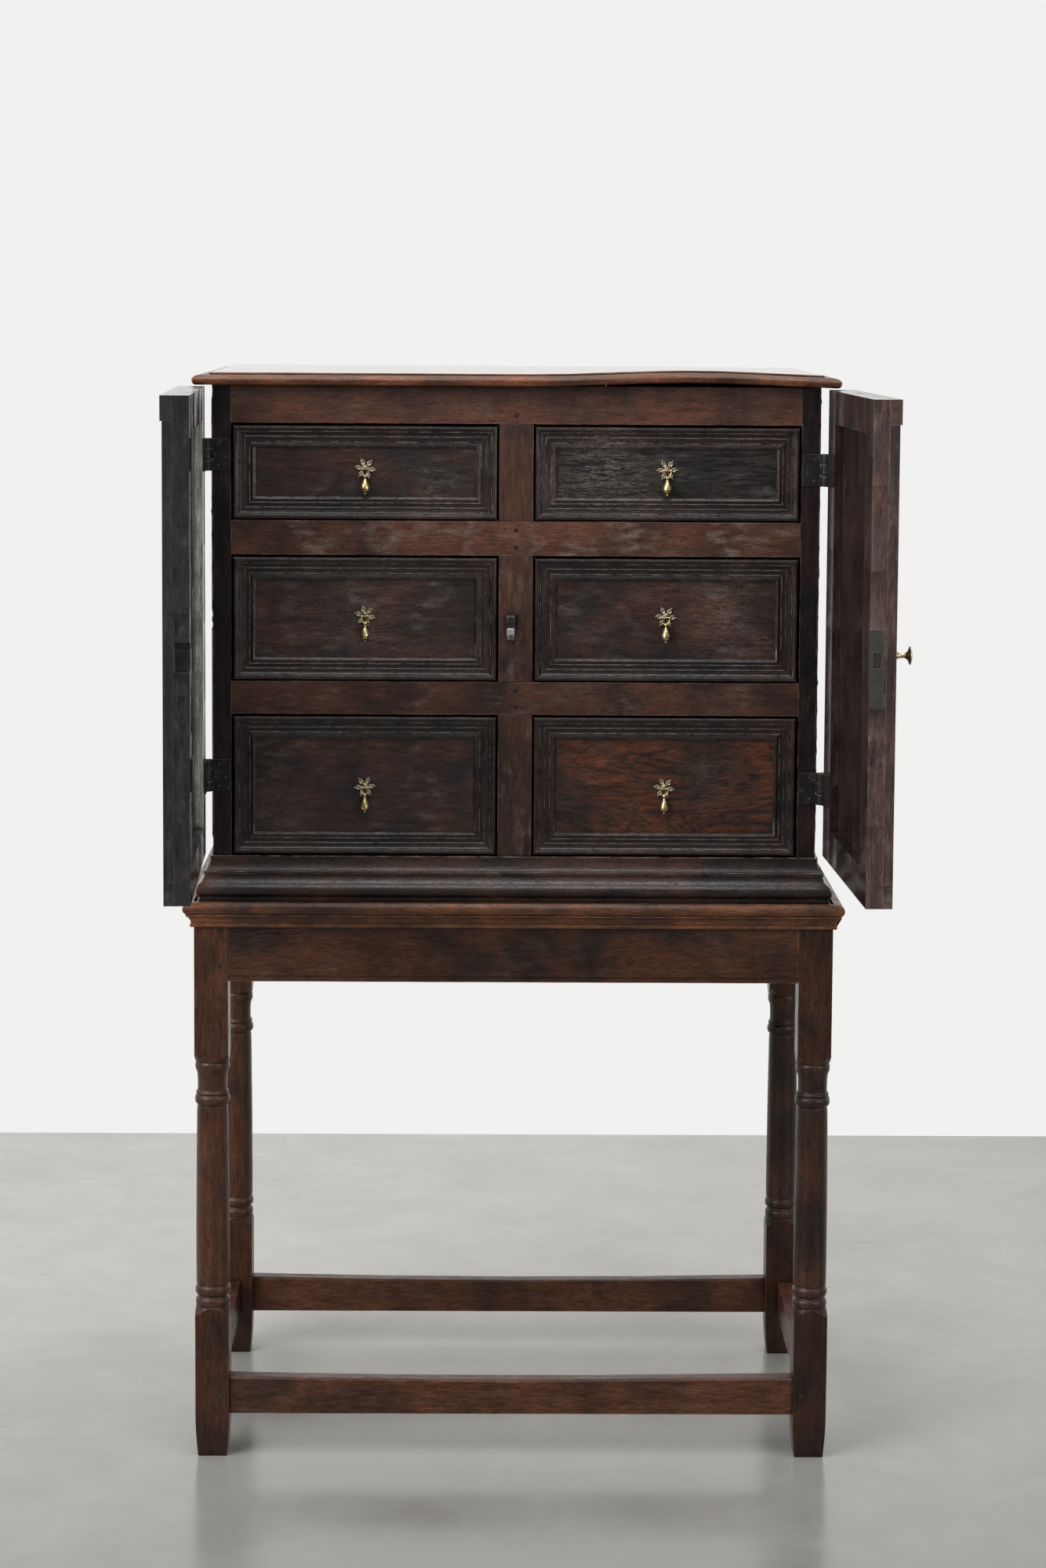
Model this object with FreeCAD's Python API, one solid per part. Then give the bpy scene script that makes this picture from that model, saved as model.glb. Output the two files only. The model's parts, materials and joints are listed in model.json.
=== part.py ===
import FreeCAD, Part
import math
import os

# An oak cabinet on stand, in millimetres. A case of six drawers stands behind
# two doors, loose in the moulded rim of an open stand with four turned legs.
# X runs to the right, Y from front to back and Z up. The origin is on the
# floor, under the middle of the stand. The doors are modelled standing open.

# ---------------------------------------------------------------- driving sizes
overall_height = 1420.0

case_width = 780.0
case_depth = 464.0

stand_side_overhang = 24.0
stand_front_overhang = 24.0
stand_back_overhang = 2.0
seat_height = 734.0
leg_side = 44.6
upper_block_drop = 102.0
lower_block_rise = 79.0
ring_drop = 46.0
ring_height = 16.0
shoulder_height = 26.0
bead_height = 14.0
neck_radius = 19.6
column_radius = 21.3
ring_radius = 23.2
foot_taper_height = 56.0
foot_taper = 3.2
foot_round = 2.6

frieze_height = 101.0
frieze_thickness = 24.0
stretcher_bottom = 57.0
stretcher_height = 50.0
stretcher_thickness = 22.0
stretcher_sag = 4.0
tenon_length = 22.0
tenon_thickness = 9.0
tenon_shoulder = 5.0
peg_radius = 3.2
peg_depth = 17.0
peg_stands_out = 0.5

stile_width = 23.7
stile_thickness = 22.0
board_thickness = 16.0
runner_depth = 16.0
back_thickness = 10.0
base_height = 61.0
top_thickness = 16.0
top_overhang = 4.0
top_front_overhang = 8.0
top_warp = 5.8
warp_start = 20.0
warp_end = 430.0

muntin_width = 44.4

# Shares of the case's height above its base; the top rail takes the rest.
bottom_row_share = 0.3033
lower_divider_share = 0.0703
middle_row_share = 0.2685
upper_divider_share = 0.0731
upper_row_share = 0.2051

drawer_gap_side = 1.2
drawer_gap_under = 0.3
drawer_gap_over = 2.2
drawer_front_thickness = 18.0
drawer_front_set_back = 6.0
drawer_side_thickness = 10.0
drawer_bottom_thickness = 7.0
drawer_back_clearance = 10.0
drawer_moulding_width = 30.0
handle_rise_lower = -3.0
handle_rise_middle = 3.0
handle_rise_upper = 4.0
plate_thickness = 1.4
eye_stands_off = 7.4
eye_bore = 1.4
loop_half_width = 5.6
loop_arm = 2.2
drop_length = 33.0

door_gap_under = 4.0
door_gap_over = 2.0
door_thickness = 20.0
door_meeting_gap = 1.0
door_stile_width = 60.0
door_rail_width = 42.0
door_panel_thickness = 6.0
door_panel_recess = 10.5
door_groove_depth = 6.0
left_door_open = 88.0
right_door_open = 92.0

hinge_height = 42.0
hinge_leaf_thickness = 1.6
hinge_leaf_gap = 0.6
hinge_knuckle_radius = 6.0
knuckle_sides = 12
hinge_pin_radius = 2.0
hinge_pin_stands_out = 7.5
hinge_leaf_reach = 22.0
left_lower_hinge_rise = 100.5
left_upper_hinge_drop = 87.5
right_lower_hinge_rise = 86.5
right_upper_hinge_drop = 103.5

bolt_rise = 296.0
bolt_side = 16.0
bolt_thickness = 7.0
bolt_length = 34.0
bolt_throw = 9.0
bolt_off_centre = 0.5
catch_width = 11.0
catch_left = -12.0
catch_half_height = 16.5
catch_wall = 4.0
lock_height = 93.0
lock_drop = 10.0
lock_plate_width = 17.0
lock_plate_thickness = 2.0
lock_case_depth = 50.0
lock_case_thickness = 12.0
knob_rise = 4.0
knob_inset = 22.0

# --------------------------------------------------------------- clearances
running_gap = 0.05
turning_gap = 0.3
tenon_gap = 0.1
peg_gap = 0.1
panel_gap = 0.2
catch_play = 0.6
overcut = 1.0

# ------------------------------------------------------------ derived places
stand_width = case_width + 2 * stand_side_overhang
stand_depth = stand_front_overhang + case_depth + stand_back_overhang
stand_left = -stand_width / 2
stand_front = -stand_depth / 2
stand_back = stand_depth / 2
leg_centre_x = (stand_width - leg_side) / 2
leg_centre_y = (stand_depth - leg_side) / 2
block_bottom = seat_height - frieze_height - upper_block_drop
ring_top = block_bottom - ring_drop
ring_bottom = ring_top - ring_height
lower_block_top = stretcher_bottom + stretcher_height + lower_block_rise
reel_top = lower_block_top + shoulder_height
bead_top = reel_top + bead_height

case_side = case_width / 2
case_front = stand_front + stand_front_overhang
case_back = case_front + case_depth
back_front = case_back - back_thickness
behind_stiles = case_front + stile_thickness
case_top = overall_height - top_thickness
opening_side = case_side - stile_width
opening_inner = muntin_width / 2
handle_centre_x = (opening_inner + opening_side) / 2
loop_radius = eye_bore - running_gap

bottom_row = seat_height + base_height
front_height = case_top - bottom_row
bottom_row_height = bottom_row_share * front_height
lower_divider_height = lower_divider_share * front_height
middle_row_height = middle_row_share * front_height
upper_divider_height = upper_divider_share * front_height
upper_row_height = upper_row_share * front_height
lower_divider = bottom_row + bottom_row_height
middle_row = lower_divider + lower_divider_height
upper_divider = middle_row + middle_row_height
upper_row = upper_divider + upper_divider_height
top_rail_bottom = upper_row + upper_row_height

# The rows of drawers from the bottom up: floor, height and rise of the handle.
drawer_rows = (
    (bottom_row, bottom_row_height, handle_rise_lower),
    (middle_row, middle_row_height, handle_rise_middle),
    (upper_row, upper_row_height, handle_rise_upper),
)

door_bottom = bottom_row + door_gap_under
door_top = case_top - door_gap_over
left_hinge_heights = (door_bottom + left_lower_hinge_rise, door_top - left_upper_hinge_drop)
right_hinge_heights = (door_bottom + right_lower_hinge_rise, door_top - right_upper_hinge_drop)
door_inner_face = case_front - 2 * hinge_leaf_thickness - hinge_leaf_gap
door_width = case_side - door_meeting_gap / 2
hinge_axis_x = case_side + hinge_pin_stands_out
hinge_axis_y = case_front - hinge_leaf_thickness - hinge_leaf_gap / 2
bolt_height = door_bottom + bolt_rise
bolt_middle_y = door_inner_face - lock_plate_width / 2 - bolt_off_centre
catch_front = bolt_middle_y - bolt_thickness / 2 - catch_wall
lock_middle = bolt_height - lock_drop
knob_height = bolt_height + knob_rise

ACROSS = FreeCAD.Vector(1, 0, 0)
INWARD = FreeCAD.Vector(0, 1, 0)
UP = FreeCAD.Vector(0, 0, 1)
ORIGIN = FreeCAD.Vector(0, 0, 0)


# ----------------------------------------------------------- shared workshop
def box(x_range, y_range, z_range):
    """A block between two X, two Y and two Z values."""
    low = [min(pair) for pair in (x_range, y_range, z_range)]
    high = [max(pair) for pair in (x_range, y_range, z_range)]
    sizes = [high[axis] - low[axis] for axis in range(3)]
    return Part.makeBox(*sizes, FreeCAD.Vector(*low))


def span(start, length):
    """A pair of values: where a run starts and where it ends."""
    return (start, start + length)


def outline(start, *steps):
    """A closed face in the local Y-Z plane.

    Each step is an end point, for a straight edge, or a way point and an
    end point, for an arc.
    """
    def point(pair):
        return FreeCAD.Vector(0, pair[0], pair[1])

    edges = []
    here = start
    for step in steps + (start,):
        if isinstance(step[0], tuple):
            way, end = step
            edges.append(Part.Arc(point(here), point(way), point(end)).toShape())
        else:
            end = step
            if end != here:
                edges.append(Part.LineSegment(point(here), point(end)).toShape())
        here = end
    return Part.Face(Part.Wire(edges))


def placed(shape, x, y, z):
    """A copy of the shape, moved."""
    copy = shape.copy()
    copy.translate(FreeCAD.Vector(x, y, z))
    return copy


def turned(shape, axis, angle, centre=ORIGIN):
    """A copy of the shape, turned about an axis through a point."""
    copy = shape.copy()
    copy.rotate(centre, axis, angle)
    return copy


def mirrored(shape):
    """The shape's twin on the other side of the middle plane."""
    return shape.mirror(ORIGIN, ACROSS)


def both_sides(shape):
    """The shape and its twin as two solids."""
    return [shape, mirrored(shape)]


def write(node, *solids):
    """One STEP file for a sub-part, which may be several loose solids."""
    loose = []
    for solid in solids:
        loose.extend(solid.Solids)
    whole = loose[0] if len(loose) == 1 else Part.makeCompound(loose)
    whole.exportStep(os.path.join("parts", node + ".step"))


def prism(corners, axis_step, height):
    """A polygon in the local X-Y or X-Z plane, pushed along the third axis."""
    wire = Part.makePolygon([FreeCAD.Vector(*corner) for corner in corners + corners[:1]])
    return Part.Face(wire).extrude(axis_step * height)


def warp_rise(x):
    """How far the top's front edge has lifted, on the right of the middle."""
    if not warp_start < x < warp_end:
        return 0.0
    return top_warp * math.sin(math.pi * (x - warp_start) / (warp_end - warp_start)) ** 2


def warped(section, half_width):
    """A length along X that follows the warp, from its section's (Y, Z, share) corners.

    A corner with a share of 1 lifts with the front edge, and one of 0 stays down.
    """
    steps = 8
    stations = [-half_width]
    stations += [warp_start + (half_width - warp_start) * step / steps for step in range(steps + 1)]
    wires = []
    for x in stations:
        corners = [FreeCAD.Vector(x, y, z + share * warp_rise(x)) for y, z, share in section]
        wires.append(Part.makePolygon(corners + corners[:1]))
    return Part.makeLoft(wires, True, True)


def edging(profile, length, start_mitre, end_mitre):
    """A run of moulding along local X whose profile faces outwards along local Z.

    A mitre of 1 lengthens the outer side for an outside corner; 0 is a square end.
    """
    bounds = profile.BoundBox
    reach = bounds.ZMax
    bar = placed(profile.extrude(ACROSS * (length + 2 * reach)), -reach, 0, 0)
    low = bounds.YMin - overcut
    plan = [
        (0, low, 0),
        (length, low, 0),
        (length + end_mitre * reach, low, reach),
        (-start_mitre * reach, low, reach),
    ]
    return bar.common(prism(plan, INWARD, bounds.YLength + 2 * overcut))


def stood_up(shape):
    """Turns local Y up and local Z to the front."""
    return turned(shape, ACROSS, 90)


def surround(profile, half_width, front, back, height):
    """Mouldings mitred round the front and both sides of a body."""
    front_run = stood_up(edging(profile, 2 * half_width, 1, 1))
    front_run = placed(front_run, -half_width, front, height)
    side_run = stood_up(edging(profile, back - front, 0, 1))
    side_run = turned(side_run, UP, -90)
    side_run = placed(side_run, -half_width, back, height)
    return [front_run] + both_sides(side_run)


def mitred_frame(profile, width, height):
    """Four mitred strips round a rectangle, in the local X-Y plane, facing +Z."""
    reach = profile.BoundBox.YMax
    strips = []
    corners = ((0, 0), (width, 0), (width, height), (0, height))
    lengths = (width, height, width, height)
    for turn, (corner, length) in enumerate(zip(corners, lengths)):
        plan = [(0, 0, 0), (length, 0, 0), (length - reach, reach, 0), (reach, reach, 0)]
        strip = profile.extrude(ACROSS * length)
        strip = strip.common(prism(plan, UP, profile.BoundBox.ZMax + overcut))
        strip = turned(strip, UP, 90 * turn)
        strips.append(placed(strip, corner[0], corner[1], 0))
    return strips


# ----------------------------------------------------------------- the stand
def leg_turning():
    """The turned solid of a leg: past the square's corners at its blocks."""
    reach = leg_side * 0.75
    half = leg_side / 2
    flush = half - 0.1
    profile = outline(
        (0, 0),
        (reach, 0),
        (reach, lower_block_top),
        (flush, lower_block_top + 8.0),
        (flush, lower_block_top + 16.0),
        (neck_radius, reel_top),
        (ring_radius, reel_top + 5.0),
        (ring_radius, bead_top - 3.0),
        (column_radius, bead_top),
        (column_radius, ring_bottom),
        (ring_radius, ring_bottom + 4.0),
        (ring_radius, ring_top - 4.0),
        (neck_radius, ring_top + 0.5),
        (neck_radius, block_bottom - 18.0),
        (flush, block_bottom - 12.0),
        (flush, block_bottom - 2.0),
        (reach, block_bottom + 10.0),
        (reach, seat_height),
        (0, seat_height),
    )
    return profile.revolve(ORIGIN, UP, 360)


def leg_blank():
    """The squared blank of a leg, which tapers to its foot on all four faces.

    Between the blocks it is wider, so that the beads stay round.
    """
    half = leg_side / 2
    foot = half - foot_taper
    turned_half = half + 3.0
    right_side = (
        (foot, foot_round),
        ((half - 0.9, foot_taper_height * 0.5), (half, foot_taper_height)),
        (half, reel_top),
        (turned_half, reel_top),
        (turned_half, ring_top + 8.0),
        (half, ring_top + 8.0),
        (half, seat_height),
    )
    left_side = (
        (-half, seat_height),
        (-half, ring_top + 8.0),
        (-turned_half, ring_top + 8.0),
        (-turned_half, reel_top),
        (-half, reel_top),
        (-half, foot_taper_height),
        ((-half + 0.9, foot_taper_height * 0.5), (-foot, foot_round)),
    )
    side = outline((-foot + foot_round, 0), (foot - foot_round, 0), *right_side, *left_side)
    slab = placed(side.extrude(ACROSS * 2 * turned_half), -turned_half, 0, 0)
    return slab.common(turned(slab, UP, 90))


def rail_tenons(rail_box, along, height_trim):
    """The tenon at each end of a rail that runs along X or Y."""
    bounds = rail_box.BoundBox
    z_range = (bounds.ZMin + height_trim, bounds.ZMax - height_trim)
    middle_x = bounds.Center.x
    middle_y = bounds.Center.y
    tenons = []
    for end in (-1, 1):
        if along == "x":
            edge = bounds.XMin if end < 0 else bounds.XMax
            x_range = (edge, edge + end * tenon_length)
            y_range = span(middle_y - tenon_thickness / 2, tenon_thickness)
        else:
            edge = bounds.YMin if end < 0 else bounds.YMax
            x_range = span(middle_x - tenon_thickness / 2, tenon_thickness)
            y_range = (edge, edge + end * tenon_length)
        tenons.append((x_range, y_range, z_range))
    return tenons


def mortise(tenon):
    """The pocket that takes a tenon, a little larger all round."""
    grown = [(min(pair) - tenon_gap, max(pair) + tenon_gap) for pair in tenon]
    return box(*grown)


def ring_corners(radius, sides, height=0.0):
    """The corners of a regular polygon in the local X-Y plane."""
    corners = []
    for index in range(sides):
        angle = math.radians((index + 0.5) * 360 / sides)
        corners.append((radius * math.cos(angle), radius * math.sin(angle), height))
    return corners


def cleft(radius, length, bottom, direction):
    """An eight-sided length along Y, as pegs are cleft from straight oak."""
    stick = turned(prism(ring_corners(radius, 8), UP, length), ACROSS, 90)
    if direction.y > 0:
        stick = placed(stick, 0, length, 0)
    return placed(stick, bottom.x, bottom.y, bottom.z)


def drill(x, y, z, outward):
    """The hole of a peg that is driven in against the outward direction."""
    start = FreeCAD.Vector(x, y, z) + outward * overcut
    return cleft(peg_radius, peg_depth + overcut, start, -outward)


def peg(x, y, z, outward):
    """An oak peg that fills its hole and stands a little proud of the face."""
    start = FreeCAD.Vector(x, y, z) + outward * peg_stands_out
    return cleft(peg_radius - peg_gap, peg_depth + peg_stands_out, start, -outward)


def frieze_rails():
    """The four deep rails under the case; the front one has a sunk lower edge."""
    inner_x = stand_width / 2 - leg_side
    inner_y = stand_depth / 2 - leg_side
    low = seat_height - frieze_height
    sunk_height = 7.0
    sunk_depth = 2.0
    section = outline(
        (sunk_depth, 0),
        (frieze_thickness, 0),
        (frieze_thickness, frieze_height),
        (0, frieze_height),
        (0, sunk_height + 1.5),
        ((0.7, sunk_height + 0.6), (sunk_depth, sunk_height)),
    )
    front = placed(section.extrude(ACROSS * 2 * inner_x), -inner_x, stand_front, low)
    z_range = span(low, frieze_height)
    back = box((-inner_x, inner_x), (stand_back - frieze_thickness, stand_back), z_range)
    side = box(span(stand_left, frieze_thickness), (-inner_y, inner_y), z_range)
    return {"front": (front, "x"), "back": (back, "x"), "left": (side, "y"), "right": (mirrored(side), "y")}


def stretchers():
    """The four low rails, hollowed along their top edges by long wear of feet."""
    inner_x = stand_width / 2 - leg_side
    inner_y = stand_depth / 2 - leg_side
    set_back = 5.0
    worn_edge = 3.0

    def bar(length):
        side = outline(
            (0, 0),
            (length, 0),
            (length, stretcher_height),
            ((length / 2, stretcher_height - stretcher_sag), (0, stretcher_height)),
        )
        solid = turned(side.extrude(-ACROSS * stretcher_thickness), UP, -90)
        outer_top = [
            edge for edge in solid.Edges
            if edge.BoundBox.YMax < 0.01 and edge.BoundBox.ZMin > stretcher_height / 2
            and edge.BoundBox.XLength > length / 2
        ]
        return solid.makeChamfer(worn_edge, outer_top)

    front = placed(bar(2 * inner_x), -inner_x, stand_front + set_back, stretcher_bottom)
    back = placed(bar(2 * inner_x), -inner_x, stand_back - set_back - stretcher_thickness, stretcher_bottom)
    side = turned(bar(2 * inner_y), UP, -90)
    side = placed(side, stand_left + set_back, inner_y, stretcher_bottom)
    return {"front": (front, "x"), "back": (back, "x"), "left": (side, "y"), "right": (mirrored(side), "y")}


def build_stand():
    """Legs, frieze rails, stretchers and the moulded rim that holds the case."""
    blank = leg_blank().common(leg_turning())
    legs = {}
    for depth, y in (("front", -leg_centre_y), ("back", leg_centre_y)):
        for side, x in (("left", -leg_centre_x), ("right", leg_centre_x)):
            legs[depth + "_" + side] = placed(blank, x, y, 0)

    pegs = []
    holes = []
    inner_x = stand_width / 2 - leg_side
    inner_y = stand_depth / 2 - leg_side
    peg_inset = 11.0
    peg_drop = 34.0
    peg_rise = 20.0
    frieze_peg_heights = (seat_height - peg_drop, seat_height - frieze_height + peg_rise)
    stretcher_peg_heights = (stretcher_bottom + stretcher_height / 2,)
    for heights in (frieze_peg_heights, stretcher_peg_heights):
        for z in heights:
            for x in (-inner_x - peg_inset, inner_x + peg_inset):
                for y, outward in ((stand_front, -INWARD), (stand_back, INWARD)):
                    pegs.append(peg(x, y, z, outward))
                    holes.append(drill(x, y, z, outward))
    written = {}
    rail_groups = (("stand_rail_", frieze_rails(), 18.0), ("stand_stretcher_", stretchers(), 8.0))
    for prefix, rails, trim in rail_groups:
        for side, (rail, along) in rails.items():
            whole = rail
            for tenon in rail_tenons(rail, along, trim if along == "x" else trim + tenon_shoulder):
                if along == "y":
                    tenon = (tenon[0], trimmed_run(tenon[1], tenon_length / 2), tenon[2])
                whole = whole.fuse(box(*tenon))
                for name in legs:
                    pocket = mortise(tenon)
                    if pocket.BoundBox.intersect(legs[name].BoundBox):
                        legs[name] = legs[name].cut(pocket)
            whole = whole.removeSplitter()
            for hole in holes:
                if hole.BoundBox.intersect(whole.BoundBox):
                    whole = whole.cut(hole)
            written.setdefault(prefix + ("sides" if along == "y" else side), []).append(whole)
    for node, rails in written.items():
        write(node, *rails)
    for name, leg in legs.items():
        for hole in holes:
            if hole.BoundBox.intersect(leg.BoundBox):
                leg = leg.cut(hole)
        write("stand_leg_" + name, leg)
    write("stand_top_moulding", *stand_moulding())
    return pegs


def trimmed_run(pair, length):
    """The first stretch of a run, of the given length."""
    start, end = pair
    return (start, start + length * (1 if end > start else -1))


def stand_moulding():
    """The moulding nailed round the stand, whose rim keeps the case in place."""
    rim = 4.0
    drop = 29.0
    bead_out = 13.5
    profile = outline(
        (-drop, 0),
        (-drop, 3.6),
        (-drop + 2.0, 4.8),
        (-drop + 4.6, 4.4),
        (-drop + 5.2, 3.0),
        ((-drop + 11.0, 5.2), (-drop + 16.0, 10.2)),
        (-drop + 17.6, 9.2),
        (-drop + 18.6, 10.8),
        ((-drop + 24.5, bead_out), (rim - 2.8, bead_out - 1.6)),
        (rim, bead_out - 5.2),
        (rim, 0),
    )
    return surround(profile, stand_width / 2, stand_front, stand_back, seat_height)


# ------------------------------------------------------------------ the case
def case_joint_pegs():
    """Where the pegs of the muntins' tenons stand on the rails."""
    inset = 11.0
    heights = (
        top_rail_bottom + inset,
        upper_row - inset,
        upper_divider + inset,
        middle_row - inset,
        lower_divider + inset,
    )
    return [(0.0, case_front, z) for z in heights]


def case_rails():
    """The rails between the stiles: base, two dividers and the top."""
    levels = (
        (seat_height, bottom_row),
        (lower_divider, middle_row),
        (upper_divider, upper_row),
        (top_rail_bottom, case_top),
    )
    x_range = (-opening_side, opening_side)
    return [box(x_range, (case_front, behind_stiles), level) for level in levels]


def case_muntins():
    """The upright pieces between the drawers of each row."""
    x_range = (-opening_inner, opening_inner)
    y_range = (case_front, behind_stiles)
    return [box(x_range, y_range, span(floor, height)) for floor, height, rise in drawer_rows]


def case_frame(pegs):
    """Stiles, rails and muntins of the front, with mortises, tenons and pegs."""
    tongue = 8.0
    stub = 12.0
    trim = 6.0
    middle_y = (case_front + behind_stiles) / 2
    y_range = span(middle_y - tongue / 2, tongue)
    stile = box((-case_side, -opening_side), (case_front, behind_stiles), (seat_height, case_top))
    rails = case_rails()
    muntins = case_muntins()
    for index, rail in enumerate(rails):
        bounds = rail.BoundBox
        z_range = (bounds.ZMin + trim, bounds.ZMax - trim)
        tenon = (span(-opening_side - stub, stub), y_range, z_range)
        stile = stile.cut(mortise(tenon))
        for piece in both_sides(box(*tenon)):
            rails[index] = rails[index].fuse(piece)
    for index, muntin in enumerate(muntins):
        bounds = muntin.BoundBox
        x_range = (-opening_inner + trim, opening_inner - trim)
        ends = ((index, span(bounds.ZMin - stub, stub)), (index + 1, span(bounds.ZMax, stub)))
        for rail_index, z_range in ends:
            tenon = (x_range, y_range, z_range)
            muntins[index] = muntins[index].fuse(box(*tenon))
            rails[rail_index] = rails[rail_index].cut(mortise(tenon))
    for x, y, z in case_joint_pegs():
        hole = drill(x, y, z, -INWARD)
        rails = [rail.cut(hole) for rail in rails]
        muntins = [muntin.cut(hole) for muntin in muntins]
        pegs.append(peg(x, y, z, -INWARD))
    write("case_stiles", *both_sides(stile))
    write("case_rails", *[rail.removeSplitter() for rail in rails])
    write("case_muntins", *[muntin.removeSplitter() for muntin in muntins])


def applied_moulding(crest):
    """The small mitred moulding of the case's sides and the doors' panels."""
    width = crest * 4.6
    return outline(
        (0, 0),
        (0, crest * 0.6),
        (width * 0.12, crest),
        (width * 0.26, crest),
        (width * 0.36, crest * 0.4),
        (width * 0.68, crest * 0.3),
        (width * 0.78, crest * 0.6),
        (width, 0),
    )


def side_mouldings():
    """Two mitred panels planted on the left side of the case."""
    crest = 4.5
    margin = 34.0
    split = 20.0
    low = bottom_row + margin / 2
    high = case_top - margin / 2
    middle = (low + high) / 2
    depth = case_depth - 2 * margin
    profile = applied_moulding(crest)
    strips = []
    for z_low, z_high in ((low, middle - split / 2), (middle + split / 2, high)):
        for strip in mitred_frame(profile, depth, z_high - z_low):
            strip = turned(stood_up(strip), UP, -90)
            strips.append(placed(strip, -case_side, case_back - margin, z_low))
    return strips


def drawer_runners():
    """A runner under both edges of every drawer, with a guide nailed on it."""
    ledge = 11.0
    guide_rise = 12.0
    guide_gap = 1.0
    y_range = (behind_stiles, back_front)
    wall_outer = case_side - board_thickness
    wall_inner = board_thickness / 2
    pieces = []
    for floor, height, rise in drawer_rows:
        for wall, edge in ((wall_outer, opening_side), (wall_inner, opening_inner)):
            inward = 1 if edge > wall else -1
            runner = box((wall, edge + inward * ledge), y_range, (floor - runner_depth, floor))
            guide = box((wall, edge - inward * guide_gap), y_range, span(floor, guide_rise))
            pieces += both_sides(runner) + both_sides(guide)
    return pieces


def base_moulding():
    """The deep moulding round the foot of the case."""
    profile = outline(
        (0, 0),
        (0, 18.5),
        (9.0, 18.5),
        (11.0, 20.0),
        ((18.0, 22.0), (26.0, 17.5)),
        ((30.5, 13.2), (36.5, 11.0)),
        (38.0, 12.2),
        (41.6, 12.0),
        (43.4, 9.0),
        ((49.0, 6.0), (base_height - 4.0, 4.4)),
        (base_height, 4.4),
        (base_height, 0),
    )
    return surround(profile, case_side, case_front, case_back, seat_height)


def top_moulding():
    """The rounded nosing planted on the edges of the top boards; its front is warped."""
    fillet = 3.0
    reach = 20.5
    height = top_thickness - fillet
    corners = (
        (0, 0),
        (0, reach - 4.5),
        (1.2, reach - 1.8),
        (height * 0.3, reach - 0.4),
        (height * 0.55, reach),
        (height * 0.75, reach - 1.4),
        (height * 0.9, reach - 4.2),
        (height, reach - 9.0),
        (height, 0),
    )
    half = case_side + top_overhang
    front = case_front - top_front_overhang
    left_run, right_run = surround(outline(*corners), half, front, case_back + top_overhang, case_top)[1:]
    section = [(front - out, case_top + rise, 1.0) for rise, out in corners]
    plan = [
        (-half, front, case_top - overcut),
        (half, front, case_top - overcut),
        (half + reach, front - reach, case_top - overcut),
        (-half - reach, front - reach, case_top - overcut),
    ]
    mitred = prism(plan, UP, top_thickness + top_warp + 2 * overcut)
    return [warped(section, half + reach).common(mitred), left_run, right_run]


def door_catch():
    """The iron lug on the middle muntin, with the eye that takes the lock's bolt."""
    nose = 5.0
    reach = case_front - catch_front
    low = -catch_half_height
    side = outline(
        (0, low),
        (-reach + nose, low + 2.0),
        ((-reach + 0.8, low + 6.0), (-reach, low + 12.0)),
        (-reach, catch_half_height - 5.0),
        ((-reach + 1.5, catch_half_height - 1.5), (-reach + nose, catch_half_height)),
        (0, catch_half_height),
    )
    lug = placed(side.extrude(ACROSS * catch_width), catch_left, case_front, bolt_height)
    eye = box(
        span(catch_left - overcut, catch_width + 2 * overcut),
        span(bolt_middle_y - bolt_thickness / 2 - catch_play, bolt_thickness + 2 * catch_play),
        span(bolt_height - bolt_side / 2 - catch_play, bolt_side + 2 * catch_play),
    )
    return lug.cut(eye)


def build_case(pegs):
    """Everything of the case that doesn't move."""
    case_frame(pegs)
    board_range = (behind_stiles, back_front)
    side = box(span(-case_side, board_thickness), board_range, (seat_height, case_top))
    strips = side_mouldings()
    write("case_side_left", side, *strips)
    write("case_side_right", mirrored(side), *[mirrored(strip) for strip in strips])

    board_count = 3
    board_gap = 0.6
    back_width = case_width / board_count
    backs = []
    for index in range(board_count):
        x_range = (-case_side + index * back_width, -case_side + (index + 1) * back_width - board_gap)
        backs.append(box(x_range, (back_front, case_back), (seat_height, case_top)))
    write("case_back_boards", *backs)

    inner = case_side - board_thickness
    floor_top = bottom_row - runner_depth
    bottom = box((-inner, inner), board_range, (floor_top - board_thickness, floor_top))
    half = board_thickness / 2
    partition = box((-half, half), board_range, (floor_top, case_top))
    write("case_bottom_and_partition", bottom, partition)
    write("drawer_runners", *drawer_runners())

    top_half = case_side + top_overhang
    top_front = case_front - top_front_overhang
    top_back = case_back + top_overhang
    seam = (top_front + top_back) / 2
    top_z = (case_top, overall_height)
    section = [
        (top_front, case_top, 1.0),
        (seam, case_top, 0.0),
        (seam, overall_height, 0.0),
        (top_front, overall_height, 1.0),
    ]
    front_board = warped(section, top_half)
    rear_board = box((-top_half, top_half), (seam, top_back), top_z)
    write("top_boards", front_board, rear_board)
    write("top_moulding", *top_moulding())
    write("base_moulding", *base_moulding())
    write("door_catch", door_catch())


# --------------------------------------------------------------- the drawers
def drawer_moulding_profile():
    """Bead, hollow, step and small bead of the moulding round a drawer front."""
    width = drawer_moulding_width
    return outline(
        (0, 0),
        (0, 4.4),
        (2.6, 6.8),
        (6.4, 6.6),
        (9.6, 4.6),
        (14.6, 2.6),
        (20.4, 2.0),
        (20.4, 3.2),
        (23.6, 3.0),
        (26.4, 3.8),
        (width, 0),
    )


def star(points, reaches):
    """The corners of a flat rosette whose rim repeats a list of radii."""
    corners = []
    count = points * len(reaches)
    for index in range(count):
        angle = math.radians(index * 360 / count)
        reach = reaches[index % len(reaches)]
        corners.append((reach * math.cos(angle), reach * math.sin(angle), 0))
    return corners


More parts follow.
